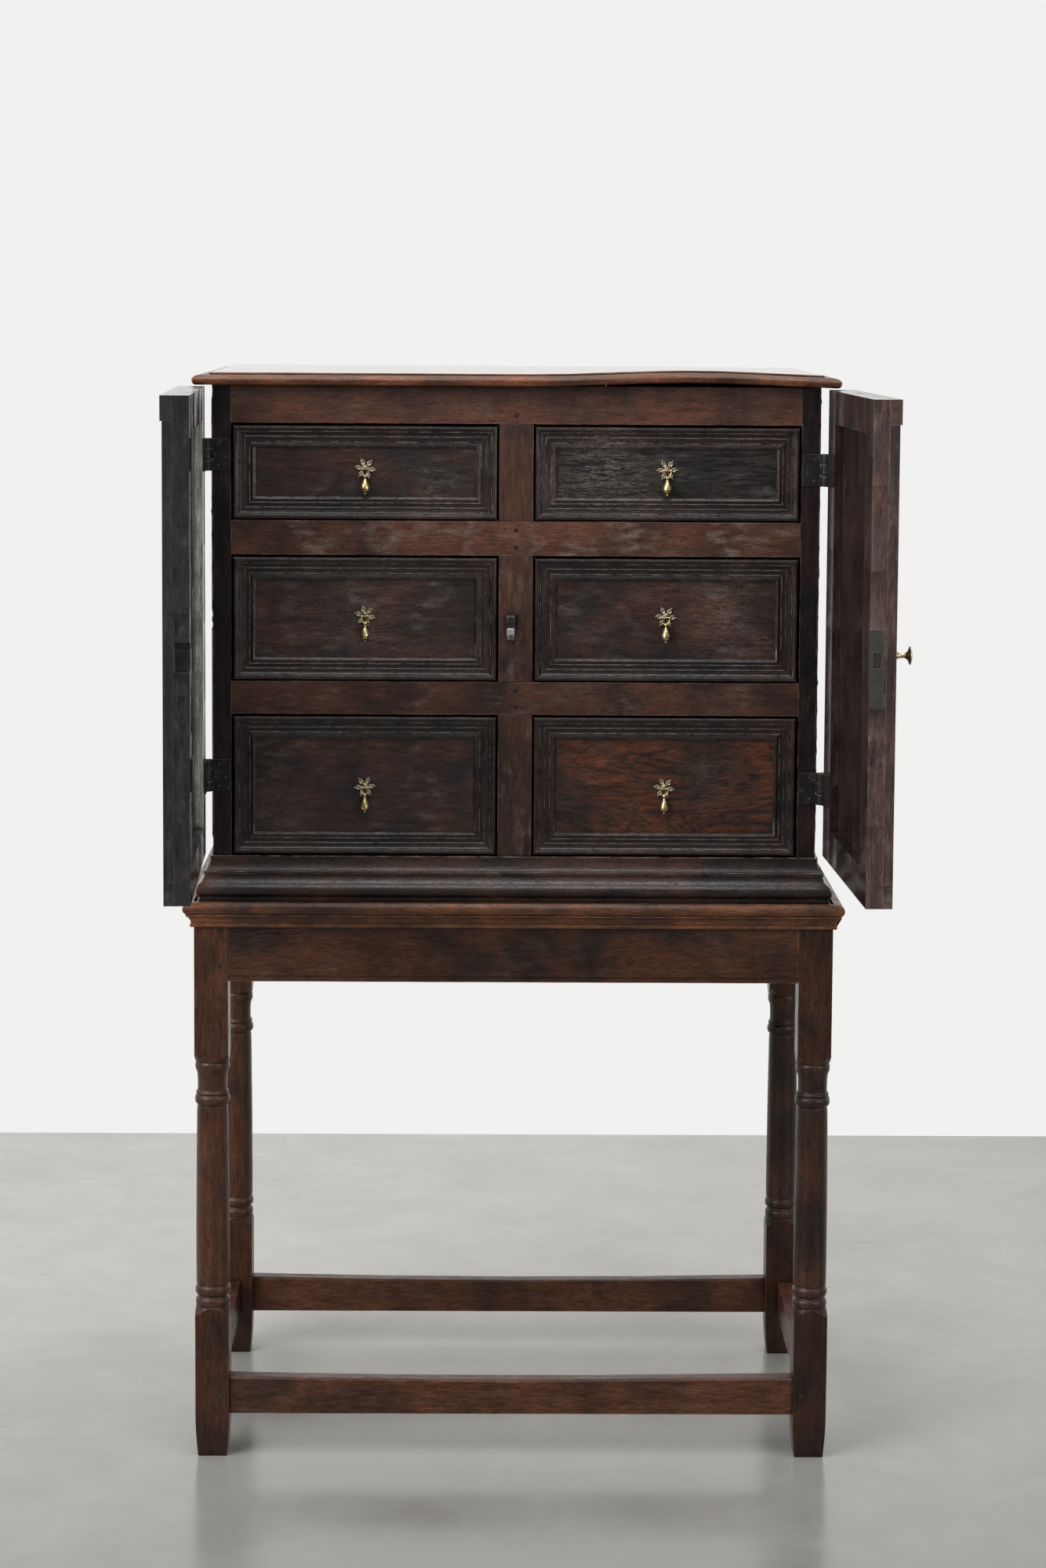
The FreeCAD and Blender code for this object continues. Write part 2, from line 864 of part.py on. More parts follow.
def filed_turning(stations, sides):
    """A small turned piece with filed flats, through pairs of radius and height."""
    rings = [[FreeCAD.Vector(*corner) for corner in ring_corners(radius, sides, height)]
             for radius, height in stations]
    faces = [Part.Face(Part.makePolygon(rim + rim[:1])) for rim in (rings[0], rings[-1])]
    for low, high in zip(rings, rings[1:]):
        for index in range(sides):
            after = (index + 1) % sides
            flat = [low[index], low[after], high[after], high[index], low[index]]
            faces.append(Part.Face(Part.makePolygon(flat)))
    return Part.Solid(Part.Shell(faces))


def handle_plate():
    """A cast plate of six petals with a low boss and a post that ends in an eye."""
    boss_height = 2.4
    post_half = 1.5
    eye_half = 2.4
    petal_rim = (14.0, 11.6, 8.6, 11.6)
    plate = prism(star(6, petal_rim), UP, plate_thickness)
    boss = prism(star(6, (5.0,)), UP, boss_height)
    rosette = stood_up(plate.fuse(boss))
    post = box((-post_half, post_half), (-eye_stands_off - eye_half, -plate_thickness), (-eye_half, eye_half))
    eye_range = (-eye_stands_off - eye_bore, -eye_stands_off + eye_bore)
    eye = box((-loop_half_width, loop_half_width), eye_range, (-eye_bore, eye_bore))
    return rosette.fuse(post).removeSplitter().cut(eye)


def handle_drop():
    """A pear-shaped drop under a squared loop, which passes through the post's eye."""
    loop_bottom = -9.0
    pear_top = loop_bottom - 3.6
    pear_radius = 5.2
    pear_bottom = -drop_length + 3.0
    arm_half = loop_arm / 2
    stations = (
        (1.4, loop_bottom + 1.0),
        (2.6, loop_bottom - 1.2),
        (1.6, pear_top),
        (3.4, pear_top - 6.0),
        (pear_radius, pear_top - 11.5),
        (pear_radius - 1.2, pear_bottom + 1.6),
        (1.1, pear_bottom),
        (1.7, -drop_length + 1.6),
        (0.6, -drop_length),
    )
    drop = filed_turning(stations, 8)
    inner = loop_half_width - loop_arm
    for x_range in ((-loop_half_width, -inner), (inner, loop_half_width)):
        drop = drop.fuse(box(x_range, (-arm_half, arm_half), (loop_bottom, loop_radius)))
    drop = drop.fuse(box((-inner, inner), (-arm_half, arm_half), (loop_bottom, loop_bottom + loop_arm)))
    pin = turned(prism(ring_corners(loop_radius, 8), UP, 2 * inner), INWARD, 90)
    return drop.fuse(placed(pin, -inner, 0, 0)).removeSplitter()


def build_drawers():
    """Six drawers, numbered from the top left, row by row."""
    front_face = case_front + drawer_front_set_back
    board_back = front_face + drawer_front_thickness
    box_back = back_front - drawer_back_clearance
    width = opening_side - opening_inner - 2 * drawer_gap_side
    moulding = drawer_moulding_profile()
    plate = handle_plate()
    drop = handle_drop()
    number = 0
    for floor, row_height, rise in reversed(drawer_rows):
        for side in (-1, 1):
            number += 1
            name = "drawer_%d_" % number
            low = floor + drawer_gap_under
            height = row_height - drawer_gap_under - drawer_gap_over
            left = side * handle_centre_x - width / 2
            x_range = span(left, width)

            board = box(x_range, (front_face, board_back), span(low, height))
            strips = []
            for strip in mitred_frame(moulding, width, height):
                strips.append(placed(stood_up(strip), left, front_face, low))
            write(name + "front", board, *strips)

            thin = drawer_side_thickness
            wall_height = height - 14.0
            floor_rise = 5.0
            wall_range = span(low, wall_height)
            floor_range = span(low + floor_rise, drawer_bottom_thickness)
            y_range = (board_back, box_back)
            inner_x = (left + thin, left + width - thin)
            walls = [
                box(span(left, thin), y_range, wall_range),
                box(span(left + width - thin, thin), y_range, wall_range),
                box(inner_x, (box_back - thin, box_back), wall_range),
                box(inner_x, (board_back, box_back - thin), floor_range),
            ]
            write(name + "box", *walls)

            handle_z = floor + row_height / 2 + rise
            centre_x = side * handle_centre_x
            write(name + "handle", placed(plate, centre_x, front_face, handle_z))
            write(name + "drop", placed(drop, centre_x, front_face - eye_stands_off, handle_z))


# ----------------------------------------------------------------- the doors
def opened(shape, side):
    """Swings a closed door's piece to where it stands open: side -1 is left."""
    angle = left_door_open if side < 0 else right_door_open
    pivot = FreeCAD.Vector(side * hinge_axis_x, hinge_axis_y, 0)
    return turned(shape, UP, side * angle, pivot)


def door_frame():
    """The closed left door's two stiles and two rails, grooved for the panel."""
    outer_face = door_inner_face - door_thickness
    y_range = (outer_face, door_inner_face)
    left = -case_side
    right = -door_meeting_gap / 2
    depth = door_groove_depth
    panel_low = door_bottom + door_rail_width
    panel_high = door_top - door_rail_width
    panel_x = (left + door_stile_width, right - door_stile_width)
    groove = box(
        (panel_x[0] - depth, panel_x[1] + depth),
        door_groove_range(),
        (panel_low - depth, panel_high + depth),
    )
    stiles = []
    for x_start in (left, panel_x[1]):
        stiles.append(box(span(x_start, door_stile_width), y_range, (door_bottom, door_top)))
    rails = []
    for z_start in (door_bottom, panel_high):
        rails.append(box(panel_x, y_range, span(z_start, door_rail_width)))
    tenon_reach = 40.0
    tenon_y = span(outer_face + 3.0, 6.0)
    trim = 9.0
    for index, rail in enumerate(rails):
        tenon_z = (rail.BoundBox.ZMin + trim, rail.BoundBox.ZMax - trim)
        tenon_ends = (span(panel_x[0] - tenon_reach, tenon_reach), span(panel_x[1], tenon_reach))
        for stile_index, x_range in enumerate(tenon_ends):
            tenon = (x_range, tenon_y, tenon_z)
            rails[index] = rails[index].fuse(box(*tenon))
            stiles[stile_index] = stiles[stile_index].cut(mortise(tenon))
    return [piece.removeSplitter().cut(groove) for piece in stiles + rails]


def door_groove_range():
    """Where the panel's groove runs in the thickness of the frame."""
    panel_inner = door_inner_face - door_panel_recess
    return (panel_inner - door_panel_thickness - panel_gap, panel_inner + panel_gap)


def door_panel():
    """The closed left door's panel, loose in the grooves."""
    groove = door_groove_range()
    depth = door_groove_depth - panel_gap
    x_range = (-case_side + door_stile_width - depth, -door_meeting_gap / 2 - door_stile_width + depth)
    z_range = (door_bottom + door_rail_width - depth, door_top - door_rail_width + depth)
    return box(x_range, (groove[0] + panel_gap, groove[1] - panel_gap), z_range)


def door_mouldings():
    """What is planted on the closed left door's outer face."""
    outer_face = door_inner_face - door_thickness
    head_height = 39.0
    head_reach = 14.5
    strip_width = 44.0
    strip_reach = 12.0
    lap = 0.4
    left = -case_side
    right = -door_meeting_gap / 2
    head = outline(
        (0, 0),
        (head_height, 0),
        (head_height, head_reach),
        (9.0, head_reach),
        ((6.0, head_reach - 0.6), (4.5, head_reach - 3.0)),
        ((3.2, head_reach - 5.4), (0, head_reach - 6.0)),
    )
    head = placed(stood_up(head.extrude(ACROSS * (right - left))), left, outer_face, door_top - head_height)
    foot = outline(
        (0, 0),
        (head_height, 0),
        (head_height, strip_reach - 5.0),
        ((head_height - 3.4, strip_reach - 4.6), (head_height - 5.0, strip_reach - 2.0)),
        ((head_height - 6.2, strip_reach - 0.5), (head_height - 9.0, strip_reach)),
        (0, strip_reach),
    )
    foot = placed(stood_up(foot.extrude(ACROSS * (right - left))), left, outer_face, door_bottom)
    upright = outline(
        (0, 0),
        (strip_width, 0),
        (strip_width, strip_reach - 5.0),
        ((strip_width - 3.4, strip_reach - 4.6), (strip_width - 5.0, strip_reach - 2.0)),
        ((strip_width - 6.2, strip_reach - 0.5), (strip_width - 9.0, strip_reach)),
        (0, strip_reach),
    )
    upright_length = door_top - door_bottom - 2 * head_height
    upright = stood_up(turned(upright.extrude(ACROSS * upright_length), UP, 90))
    right_upright = placed(turned(upright, ACROSS, 0), right, outer_face, door_bottom + head_height)
    left_upright = right_upright.mirror(FreeCAD.Vector((left + right) / 2, 0, 0), ACROSS)

    panel_face = door_groove_range()[0] + panel_gap
    profile = applied_moulding(5.5)
    panel_left = left + door_stile_width
    panel_low = door_bottom + door_rail_width
    panel_width = right - door_stile_width - panel_left
    panel_height = door_top - door_rail_width - panel_low
    border = 22.0
    frames = []
    field_height = (panel_height - 3 * border) / 2
    for index in range(2):
        z = panel_low + border + index * (field_height + border)
        for strip in mitred_frame(profile, panel_width - 2 * border, field_height):
            frames.append(placed(stood_up(strip), panel_left + border, panel_face, z))
    return [head, foot, left_upright, right_upright] + frames


def hinge_leaf(height, on_door):
    """A left hinge's leaf, hammered round its pin: the door takes the middle knuckle."""
    z_low = height - hinge_height / 2
    third = hinge_height / 3
    half_gap = turning_gap / 2
    lower_joint = z_low + third
    upper_joint = z_low + 2 * third
    z_high = z_low + hinge_height
    leaf_width = hinge_pin_stands_out + hinge_leaf_reach
    middle = (lower_joint, upper_joint)
    outer = ((z_low, lower_joint), (upper_joint, z_high))
    if on_door:
        y_range = span(door_inner_face, hinge_leaf_thickness)
        knuckles = (middle,)
        relief = outer
    else:
        y_range = (case_front - hinge_leaf_thickness, case_front)
        knuckles = outer
        relief = (middle,)
    leaf = box(span(-hinge_axis_x, leaf_width), y_range, span(z_low, hinge_height))
    axis = FreeCAD.Vector(-hinge_axis_x, hinge_axis_y, 0)
    clear = hinge_knuckle_radius + turning_gap
    for low, high in relief:
        notch_z = (low - half_gap, high + half_gap)
        leaf = leaf.cut(box(span(-hinge_axis_x - overcut, overcut + clear), y_range, notch_z))
    for low, high in knuckles:
        start = low + (half_gap if low > z_low else 0)
        end = high - (half_gap if high < z_high else 0)
        knuckle = prism(ring_corners(hinge_knuckle_radius, knuckle_sides), UP, end - start)
        leaf = leaf.fuse(placed(knuckle, axis.x, axis.y, start))
    bore_radius = (hinge_pin_radius + running_gap) / math.cos(math.pi / knuckle_sides)
    bore = prism(ring_corners(bore_radius, knuckle_sides), UP, hinge_height + 2 * overcut)
    return leaf.cut(placed(bore, axis.x, axis.y, z_low - overcut)).removeSplitter()


def hinge_pin(height):
    """The left hinge's pin, which ends flush with the outer knuckles."""
    pin = prism(ring_corners(hinge_pin_radius, knuckle_sides), UP, hinge_height)
    return placed(pin, -hinge_axis_x, hinge_axis_y, height - hinge_height / 2)


def lock_body():
    """The closed right door's lock: a plate on its edge and a case in the stile."""
    edge = door_meeting_gap / 2
    plate_y = span(door_inner_face - lock_plate_width, lock_plate_width)
    z_range = span(lock_middle - lock_height / 2, lock_height)
    plate = box(span(edge, lock_plate_thickness), plate_y, z_range)
    case_y = span(bolt_middle_y - lock_case_thickness / 2, lock_case_thickness)
    case_z = (z_range[0] + 6.0, z_range[1] - 6.0)
    case = box((edge, edge + lock_case_depth), case_y, case_z)
    play = turning_gap
    pocket = box(
        (edge - overcut, edge + bolt_length + bolt_throw / 2),
        span(bolt_middle_y - bolt_thickness / 2 - play, bolt_thickness + 2 * play),
        span(bolt_height - bolt_side / 2 - play, bolt_side + 2 * play),
    )
    return plate.fuse(case).removeSplitter().cut(pocket)


def lock_bolt():
    """The closed right door's bolt, drawn back into the lock."""
    sunk = 0.6
    start = door_meeting_gap / 2 + sunk
    y_range = span(bolt_middle_y - bolt_thickness / 2, bolt_thickness)
    return box(span(start, bolt_length), y_range, span(bolt_height - bolt_side / 2, bolt_side))


def knob():
    """The brass knob, along local Z from the face that it stands on."""
    stations = (
        (5.2, 0),
        (5.8, 1.2),
        (4.4, 2.8),
        (3.8, 5.0),
        (3.8, 11.5),
        (5.4, 15.4),
        (9.0, 17.4),
        (11.2, 18.4),
        (11.0, 19.6),
        (6.0, 21.4),
        (1.2, 22.0),
    )
    return stood_up(filed_turning(stations, 16))


def lock_pocket():
    """What is cut from the right door's edge for the lock and its plate."""
    edge = door_meeting_gap / 2
    z_range = span(lock_middle - lock_height / 2, lock_height)
    plate = box(
        (edge - overcut, edge + lock_plate_thickness),
        (door_inner_face - lock_plate_width, door_inner_face + overcut),
        z_range,
    )
    case_y = span(bolt_middle_y - lock_case_thickness / 2, lock_case_thickness)
    case = box((edge - overcut, edge + lock_case_depth), case_y, (z_range[0] + 6.0, z_range[1] - 6.0))
    return plate.fuse(case)


def catch_notch():
    """What is cut from the left door's edge to clear the iron lug."""
    play = 1.2
    half_height = catch_half_height
    return box(
        (catch_left - play, overcut),
        (catch_front - play, door_inner_face + overcut),
        span(bolt_height - half_height - play, 2 * (half_height + play)),
    )


def old_mortises():
    """Two shallow marks of lost fittings in the left door's edge."""
    depth = 1.6
    edge = -door_meeting_gap / 2
    upper_mark = (bolt_height + 21.0, 30.0, 15.0)
    lower_mark = (bolt_height - 64.0, 18.0, 9.0)
    marks = []
    for low, height, width in (upper_mark, lower_mark):
        y_range = span(door_inner_face - door_thickness / 2 - width / 2, width)
        marks.append(box((edge - depth, edge + overcut), y_range, span(low, height)))
    return marks


def build_doors():
    """Both doors with their hinges; the right one carries the lock and knob."""
    boards = door_frame()
    mouldings = door_mouldings()
    panel = door_panel()
    case_leaves = []
    for side, name, heights in ((-1, "left", left_hinge_heights), (1, "right", right_hinge_heights)):
        def finished(shape):
            return opened(shape if side < 0 else mirrored(shape), side)

        frame = [finished(piece) for piece in boards]
        cutters = [catch_notch()] + old_mortises() if side < 0 else [lock_pocket()]
        for cutter in cutters:
            frame = [piece.cut(opened(cutter, side)) for piece in frame]
        write("door_" + name + "_frame", *frame)
        write("door_" + name + "_panel", finished(panel))
        write("door_" + name + "_mouldings", *[finished(piece) for piece in mouldings])
        write("door_" + name + "_hinge_leaves", *[finished(hinge_leaf(height, True)) for height in heights])
        for height in heights:
            leaf = hinge_leaf(height, False)
            pin = hinge_pin(height)
            case_leaves.append(leaf if side < 0 else mirrored(leaf))
            case_leaves.append(pin if side < 0 else mirrored(pin))
    write("case_hinge_leaves_and_pins", *case_leaves)
    write("door_right_lock", opened(lock_body(), 1))
    write("door_right_bolt", opened(lock_bolt(), 1))
    strip_face = door_inner_face - door_thickness - 12.0
    write("door_right_knob", opened(placed(knob(), knob_inset, strip_face, knob_height), 1))


os.makedirs("parts", exist_ok=True)
oak_pegs = build_stand()
build_case(oak_pegs)
write("oak_pegs", *oak_pegs)
build_drawers()
build_doors()
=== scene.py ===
import json
import math
import bpy
from mathutils import Matrix, Vector


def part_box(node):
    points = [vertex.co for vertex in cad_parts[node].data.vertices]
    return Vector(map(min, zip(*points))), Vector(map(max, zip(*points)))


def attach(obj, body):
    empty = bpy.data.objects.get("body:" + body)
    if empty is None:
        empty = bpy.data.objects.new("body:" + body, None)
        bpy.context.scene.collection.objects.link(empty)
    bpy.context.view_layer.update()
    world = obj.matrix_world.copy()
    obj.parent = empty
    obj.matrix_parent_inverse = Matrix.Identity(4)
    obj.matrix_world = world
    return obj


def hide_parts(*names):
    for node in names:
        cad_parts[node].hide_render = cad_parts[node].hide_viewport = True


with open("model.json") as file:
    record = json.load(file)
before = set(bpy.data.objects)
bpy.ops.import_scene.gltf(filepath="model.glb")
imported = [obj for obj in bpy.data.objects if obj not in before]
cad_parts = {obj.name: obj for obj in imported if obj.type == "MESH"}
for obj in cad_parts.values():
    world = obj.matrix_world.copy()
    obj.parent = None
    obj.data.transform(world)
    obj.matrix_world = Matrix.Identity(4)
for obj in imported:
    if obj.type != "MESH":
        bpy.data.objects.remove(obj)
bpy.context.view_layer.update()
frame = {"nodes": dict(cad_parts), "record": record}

# An oak cabinet on stand, dressed round its frame, in metres. Every board is a
# worn copy of its solid: edges rounded by handling, faces planed by hand. The
# grain of each board runs along its length.

MM = 0.001
FLOOR_Z = 0.0
DOOR_ANGLE = {"door_left": math.radians(-88.0), "door_right": math.radians(92.0)}


# ------------------------------------------------------------------ materials
def linear(code):
    """An sRGB hex colour as linear RGBA."""
    channels = [int(code[start:start + 2], 16) / 255 for start in (1, 3, 5)]
    return (*(c / 12.92 if c <= 0.04045 else ((c + 0.055) / 1.055) ** 2.4 for c in channels), 1.0)


def add(tree, kind, inputs=None, **settings):
    """A node with its settings and its inputs: a value, a node, or a node and its output."""
    made = tree.nodes.new("ShaderNode" + kind)
    for name, value in settings.items():
        setattr(made, name, value)
    for name, value in (inputs or {}).items():
        if isinstance(value, bpy.types.Node):
            tree.links.new(value.outputs[0], made.inputs[name])
        elif isinstance(value, tuple) and isinstance(value[0], bpy.types.Node):
            tree.links.new(value[0].outputs[value[1]], made.inputs[name])
        else:
            made.inputs[name].default_value = value
    return made


def new_material(name):
    """A material without nodes yet, and its node tree."""
    material = bpy.data.materials.new(name)
    material.use_nodes = True
    tree = material.node_tree
    tree.nodes.clear()
    return material, tree


# The Mix node's sockets for colours.
FACTOR, FIRST, SECOND, MIXED = 0, 6, 7, 2
# What lies on every board: dirt and painted shade in its corners, bare wood in its nicks, dark in its cracks.
DIRT_AND_SHADE, BARE_NICK, CRACK = "#070504", "#9a8d82", "#050404"


def patinated_oak(name, ground, glow, deep, bloom, worn, figure=0.35, bloom_share=0.5, wax=0.12, cracks=0.0,
                  swirl=0.6, flecks=0.5, relief=1.0, dull=1.0, streaks=0.32, shine=0.5):
    """Oak browned by age, wax and smoke: fibres and rings along the board, grey bloom on the
    wax, black dirt and painted shade in the corners, fine scratches and paler brown where hands rub the edges."""
    material, tree = new_material(name)
    board = add(tree, "Attribute", attribute_name="board")
    tone = add(tree, "Attribute", attribute_name="tone")
    scuff = add(tree, "Attribute", attribute_name="scuff")
    split = add(tree, "Attribute", attribute_name="split")
    tone_parts = add(tree, "SeparateXYZ", {0: (tone, "Vector")})

    def along_board(along, across, offset=(0.0, 0.0, 0.0), **pattern):
        """A pattern drawn out along the board, by its turns in a metre along and across."""
        stretched = add(tree, "Mapping", {"Vector": (board, "Vector"), "Location": offset,
                                          "Scale": (along, across, across)})
        return add(tree, "TexNoise", {"Vector": stretched, "Scale": 1.0, **pattern})

    # Fibres 1 mm apart and 15 mm long, finer threads between them, and pores.
    fibre = along_board(55.0, 850.0, Detail=4.0, Roughness=0.65)
    fibre_range = add(tree, "MapRange", {0: fibre, 1: 0.34, 2: 0.58, 3: 0.6, 4: 0.0})
    thread = along_board(140.0, 1500.0, Detail=2.0)
    thread_range = add(tree, "MapRange", {0: thread, 1: 0.34, 2: 0.66, 3: 0.68, 4: 1.34})
    pore_dark = add(tree, "MapRange", {0: thread, 1: 0.28, 2: 0.44, 3: 1.0, 4: 0.0})

    # Growth rings as contour lines of a slow field, 6 to 12 mm apart across the board.
    ring_field = along_board(2.6, 14.0, Detail=3.0, Distortion=swirl)
    ring_steps = add(tree, "Math", {0: ring_field, 1: 18.0}, operation="MULTIPLY")
    ring = add(tree, "Math", {0: ring_steps, 1: 1.0}, operation="PINGPONG")
    ring_line = add(tree, "MapRange", {0: ring, 1: 0.55, 2: 1.0, 3: 0.0, 4: figure})

    # Stains a hand's breadth across, warmer or greyer with the board's own tone.
    stain = add(tree, "TexNoise", {"Vector": (board, "Vector"), "Scale": 11.0, "Detail": 4.0, "Distortion": 0.5})
    stain_range = add(tree, "MapRange", {0: stain, 1: 0.38, 2: 0.62})
    warmth = add(tree, "Math", {0: stain_range, 1: (tone_parts, 1)}, operation="ADD", use_clamp=True)

    # Grey bloom on the wax, in patches a few centimetres long where the haze lies thick.
    cloud = along_board(30.0, 85.0, offset=(3.1, 1.7, 0.4), Detail=6.0, Roughness=0.68)
    cloud_range = add(tree, "MapRange", {0: cloud, 1: 0.46, 2: 0.70, 3: 0.0, 4: bloom_share})
    haze = add(tree, "TexNoise", {"Vector": (board, "Vector"), "Scale": 17.0, "Detail": 3.0, "Distortion": 0.8})
    haze_range = add(tree, "MapRange", {0: haze, 1: 0.48, 2: 0.66})
    hazed = add(tree, "Math", {0: cloud_range, 1: haze_range}, operation="MULTIPLY")
    bloom_amount = add(tree, "Math", {0: hazed, 1: (tone_parts, 2)}, operation="MULTIPLY")

    # The wood's own colours, one over the other, then the lightness of board, streak and thread.
    colour = add(tree, "Mix", {FACTOR: warmth, FIRST: linear(ground), SECOND: linear(glow)}, data_type="RGBA")
    for share, shade in ((ring_line, deep), (fibre_range, deep), (bloom_amount, bloom)):
        colour = add(tree, "Mix", {FACTOR: share, FIRST: (colour, MIXED), SECOND: linear(shade)}, data_type="RGBA")
    mottle = along_board(26.0, 150.0, Detail=5.0, Roughness=0.7)
    mottle_range = add(tree, "MapRange", {0: mottle, 1: 0.34, 2: 0.66, 3: 1 - streaks, 4: 1 + streaks})
    mottled = add(tree, "Math", {0: mottle_range, 1: thread_range}, operation="MULTIPLY")
    lightness = add(tree, "Math", {0: (tone_parts, 0), 1: mottled}, operation="MULTIPLY")
    colour = add(tree, "Mix", {FACTOR: 1.0, FIRST: (colour, MIXED), SECOND: lightness},
                 data_type="RGBA", blend_type="MULTIPLY")

    # Edges rubbed by hands: a thin paler line, broken up along its run.
    edge = add(tree, "AmbientOcclusion", {"Distance": 1.1 * MM}, inside=True, only_local=True, samples=4)
    rub = add(tree, "TexNoise", {"Vector": (board, "Vector"), "Scale": 46.0, "Detail": 5.0, "Roughness": 0.75})
    rub_range = add(tree, "MapRange", {0: rub, 1: 0.43, 2: 0.66})
    edge_range = add(tree, "MapRange", {0: (edge, "AO"), 1: 0.95, 2: 0.66, 3: 0.0, 4: 0.85})
    edge_worn = add(tree, "Math", {0: edge_range, 1: rub_range}, operation="MULTIPLY")

    # Dirt and old wax where no cloth reaches, together with painted shade: darker wherever another surface lies
    # within 9 mm, in a piece's own corners and in the gaps between pieces.
    corner = add(tree, "AmbientOcclusion", {"Distance": 9.0 * MM}, samples=4)
    corner_range = add(tree, "MapRange", {0: (corner, "AO"), 1: 0.80, 2: 0.35, 3: 0.0, 4: 0.94})

    # Nicks: pale flecks a millimetre or two long, and hair scratches in scuffed places.
    nick = along_board(210.0, 420.0, Detail=3.0, Roughness=0.8)
    nick_range = add(tree, "MapRange", {0: nick, 1: 0.72, 2: 0.77, 3: 0.0, 4: flecks})
    hair = along_board(90.0, 900.0, Detail=4.0, Roughness=0.7, Distortion=1.2)
    hair_range = add(tree, "MapRange", {0: hair, 1: 0.50, 2: 0.66})
    scuffed = add(tree, "Math", {0: hair_range, 1: (scuff, "Fac")}, operation="MULTIPLY")
    pale = add(tree, "Math", {0: nick_range, 1: scuffed}, operation="MAXIMUM")

    # Dry cracks along the fibres: thin lines where a stretched field crosses its middle.
    crack = along_board(11.0, 150.0, Detail=2.0, Distortion=0.3)
    crack_middle = add(tree, "Math", {0: crack, 1: 0.5, 2: 0.022}, operation="COMPARE")
    cracked = add(tree, "Math", {0: (split, "Fac"), 1: cracks}, operation="MAXIMUM")
    crack_share = add(tree, "Math", {0: crack_middle, 1: cracked}, operation="MULTIPLY")
    # Over the wood: rubbed edges, dirt and painted shade in the corners, pale nicks and dark cracks.
    for share, shade in ((edge_worn, worn), (corner_range, DIRT_AND_SHADE), (pale, BARE_NICK), (crack_share, CRACK)):
        colour = add(tree, "Mix", {FACTOR: share, FIRST: (colour, MIXED), SECOND: linear(shade)}, data_type="RGBA")

    # Height of the surface: fibres, pores and rings, then hand planing in shallow waves.
    plane = along_board(12.0, 50.0, Detail=2.0)
    grain_height = add(tree, "Math", {0: fibre, 1: ring_line}, operation="SUBTRACT")
    grain_bump = add(tree, "Bump", {"Strength": 0.5 * relief, "Distance": 0.4 * MM, "Height": grain_height})
    pore_bump = add(tree, "Bump", {"Strength": 0.4 * relief, "Distance": 0.25 * MM, "Height": pore_dark,
                                   "Normal": grain_bump}, invert=True)
    crack_bump = add(tree, "Bump", {"Strength": 0.8, "Distance": 0.5 * MM, "Height": crack_share,
                                    "Normal": pore_bump}, invert=True)
    bump = add(tree, "Bump", {"Strength": 0.5 * relief, "Distance": 1.0 * MM, "Height": plane, "Normal": crack_bump})

    roughness = add(tree, "MapRange", {0: cloud, 1: 0.35, 2: 0.70, 3: 0.24 * dull, 4: 0.50 * dull})
    # Corners darkened with dirt and painted shade, and open pores, hardly shine.
    sheltered = add(tree, "Math", {0: corner_range, 1: pore_dark}, operation="MAXIMUM")
    sheen = add(tree, "MapRange", {0: sheltered, 1: 0.0, 2: 1.0, 3: shine, 4: 0.1})
    surface = add(tree, "BsdfPrincipled", {"Base Color": (colour, MIXED), "Roughness": roughness, "IOR": 1.48,
                                           "Specular IOR Level": sheen, "Coat Weight": wax, "Coat Roughness": 0.12,
                                           "Normal": bump, "Coat Normal": bump})
    add(tree, "OutputMaterial", {"Surface": surface})
    return material


def aged_metal(name, ground, bright, dark, metallic, rough, grit):
    """Metal that has aged in place: high points rubbed brighter, hollows dull and dark."""
    material, tree = new_material(name)
    place = add(tree, "TexCoord")
    pits = add(tree, "TexNoise", {"Vector": (place, "Object"), "Scale": grit, "Detail": 5.0, "Roughness": 0.65})
    pits_range = add(tree, "MapRange", {0: pits, 1: 0.36, 2: 0.62})
    edge = add(tree, "AmbientOcclusion", {"Distance": 1.2 * MM}, inside=True, only_local=True, samples=4)
    edge_range = add(tree, "MapRange", {0: (edge, "AO"), 1: 0.9, 2: 0.5, 3: 0.0, 4: 0.7})
    corner = add(tree, "AmbientOcclusion", {"Distance": 1.6 * MM}, only_local=True, samples=4)
    corner_range = add(tree, "MapRange", {0: (corner, "AO"), 1: 0.6, 2: 0.2, 3: 0.0, 4: 0.85})
    colour = add(tree, "Mix", {FACTOR: pits_range, FIRST: linear(dark), SECOND: linear(ground)}, data_type="RGBA")
    for share, shade in ((edge_range, bright), (corner_range, "#120c07")):
        colour = add(tree, "Mix", {FACTOR: share, FIRST: (colour, MIXED), SECOND: linear(shade)}, data_type="RGBA")
    rough_range = add(tree, "MapRange", {0: pits, 1: 0.3, 2: 0.7, 3: rough + 0.12, 4: rough - 0.08})
    bump = add(tree, "Bump", {"Strength": 0.4, "Distance": 0.2 * MM, "Height": pits})
    surface = add(tree, "BsdfPrincipled", {"Base Color": (colour, MIXED), "Metallic": metallic,
                                           "Roughness": rough_range, "Normal": bump})
    add(tree, "OutputMaterial", {"Surface": surface})
    return material


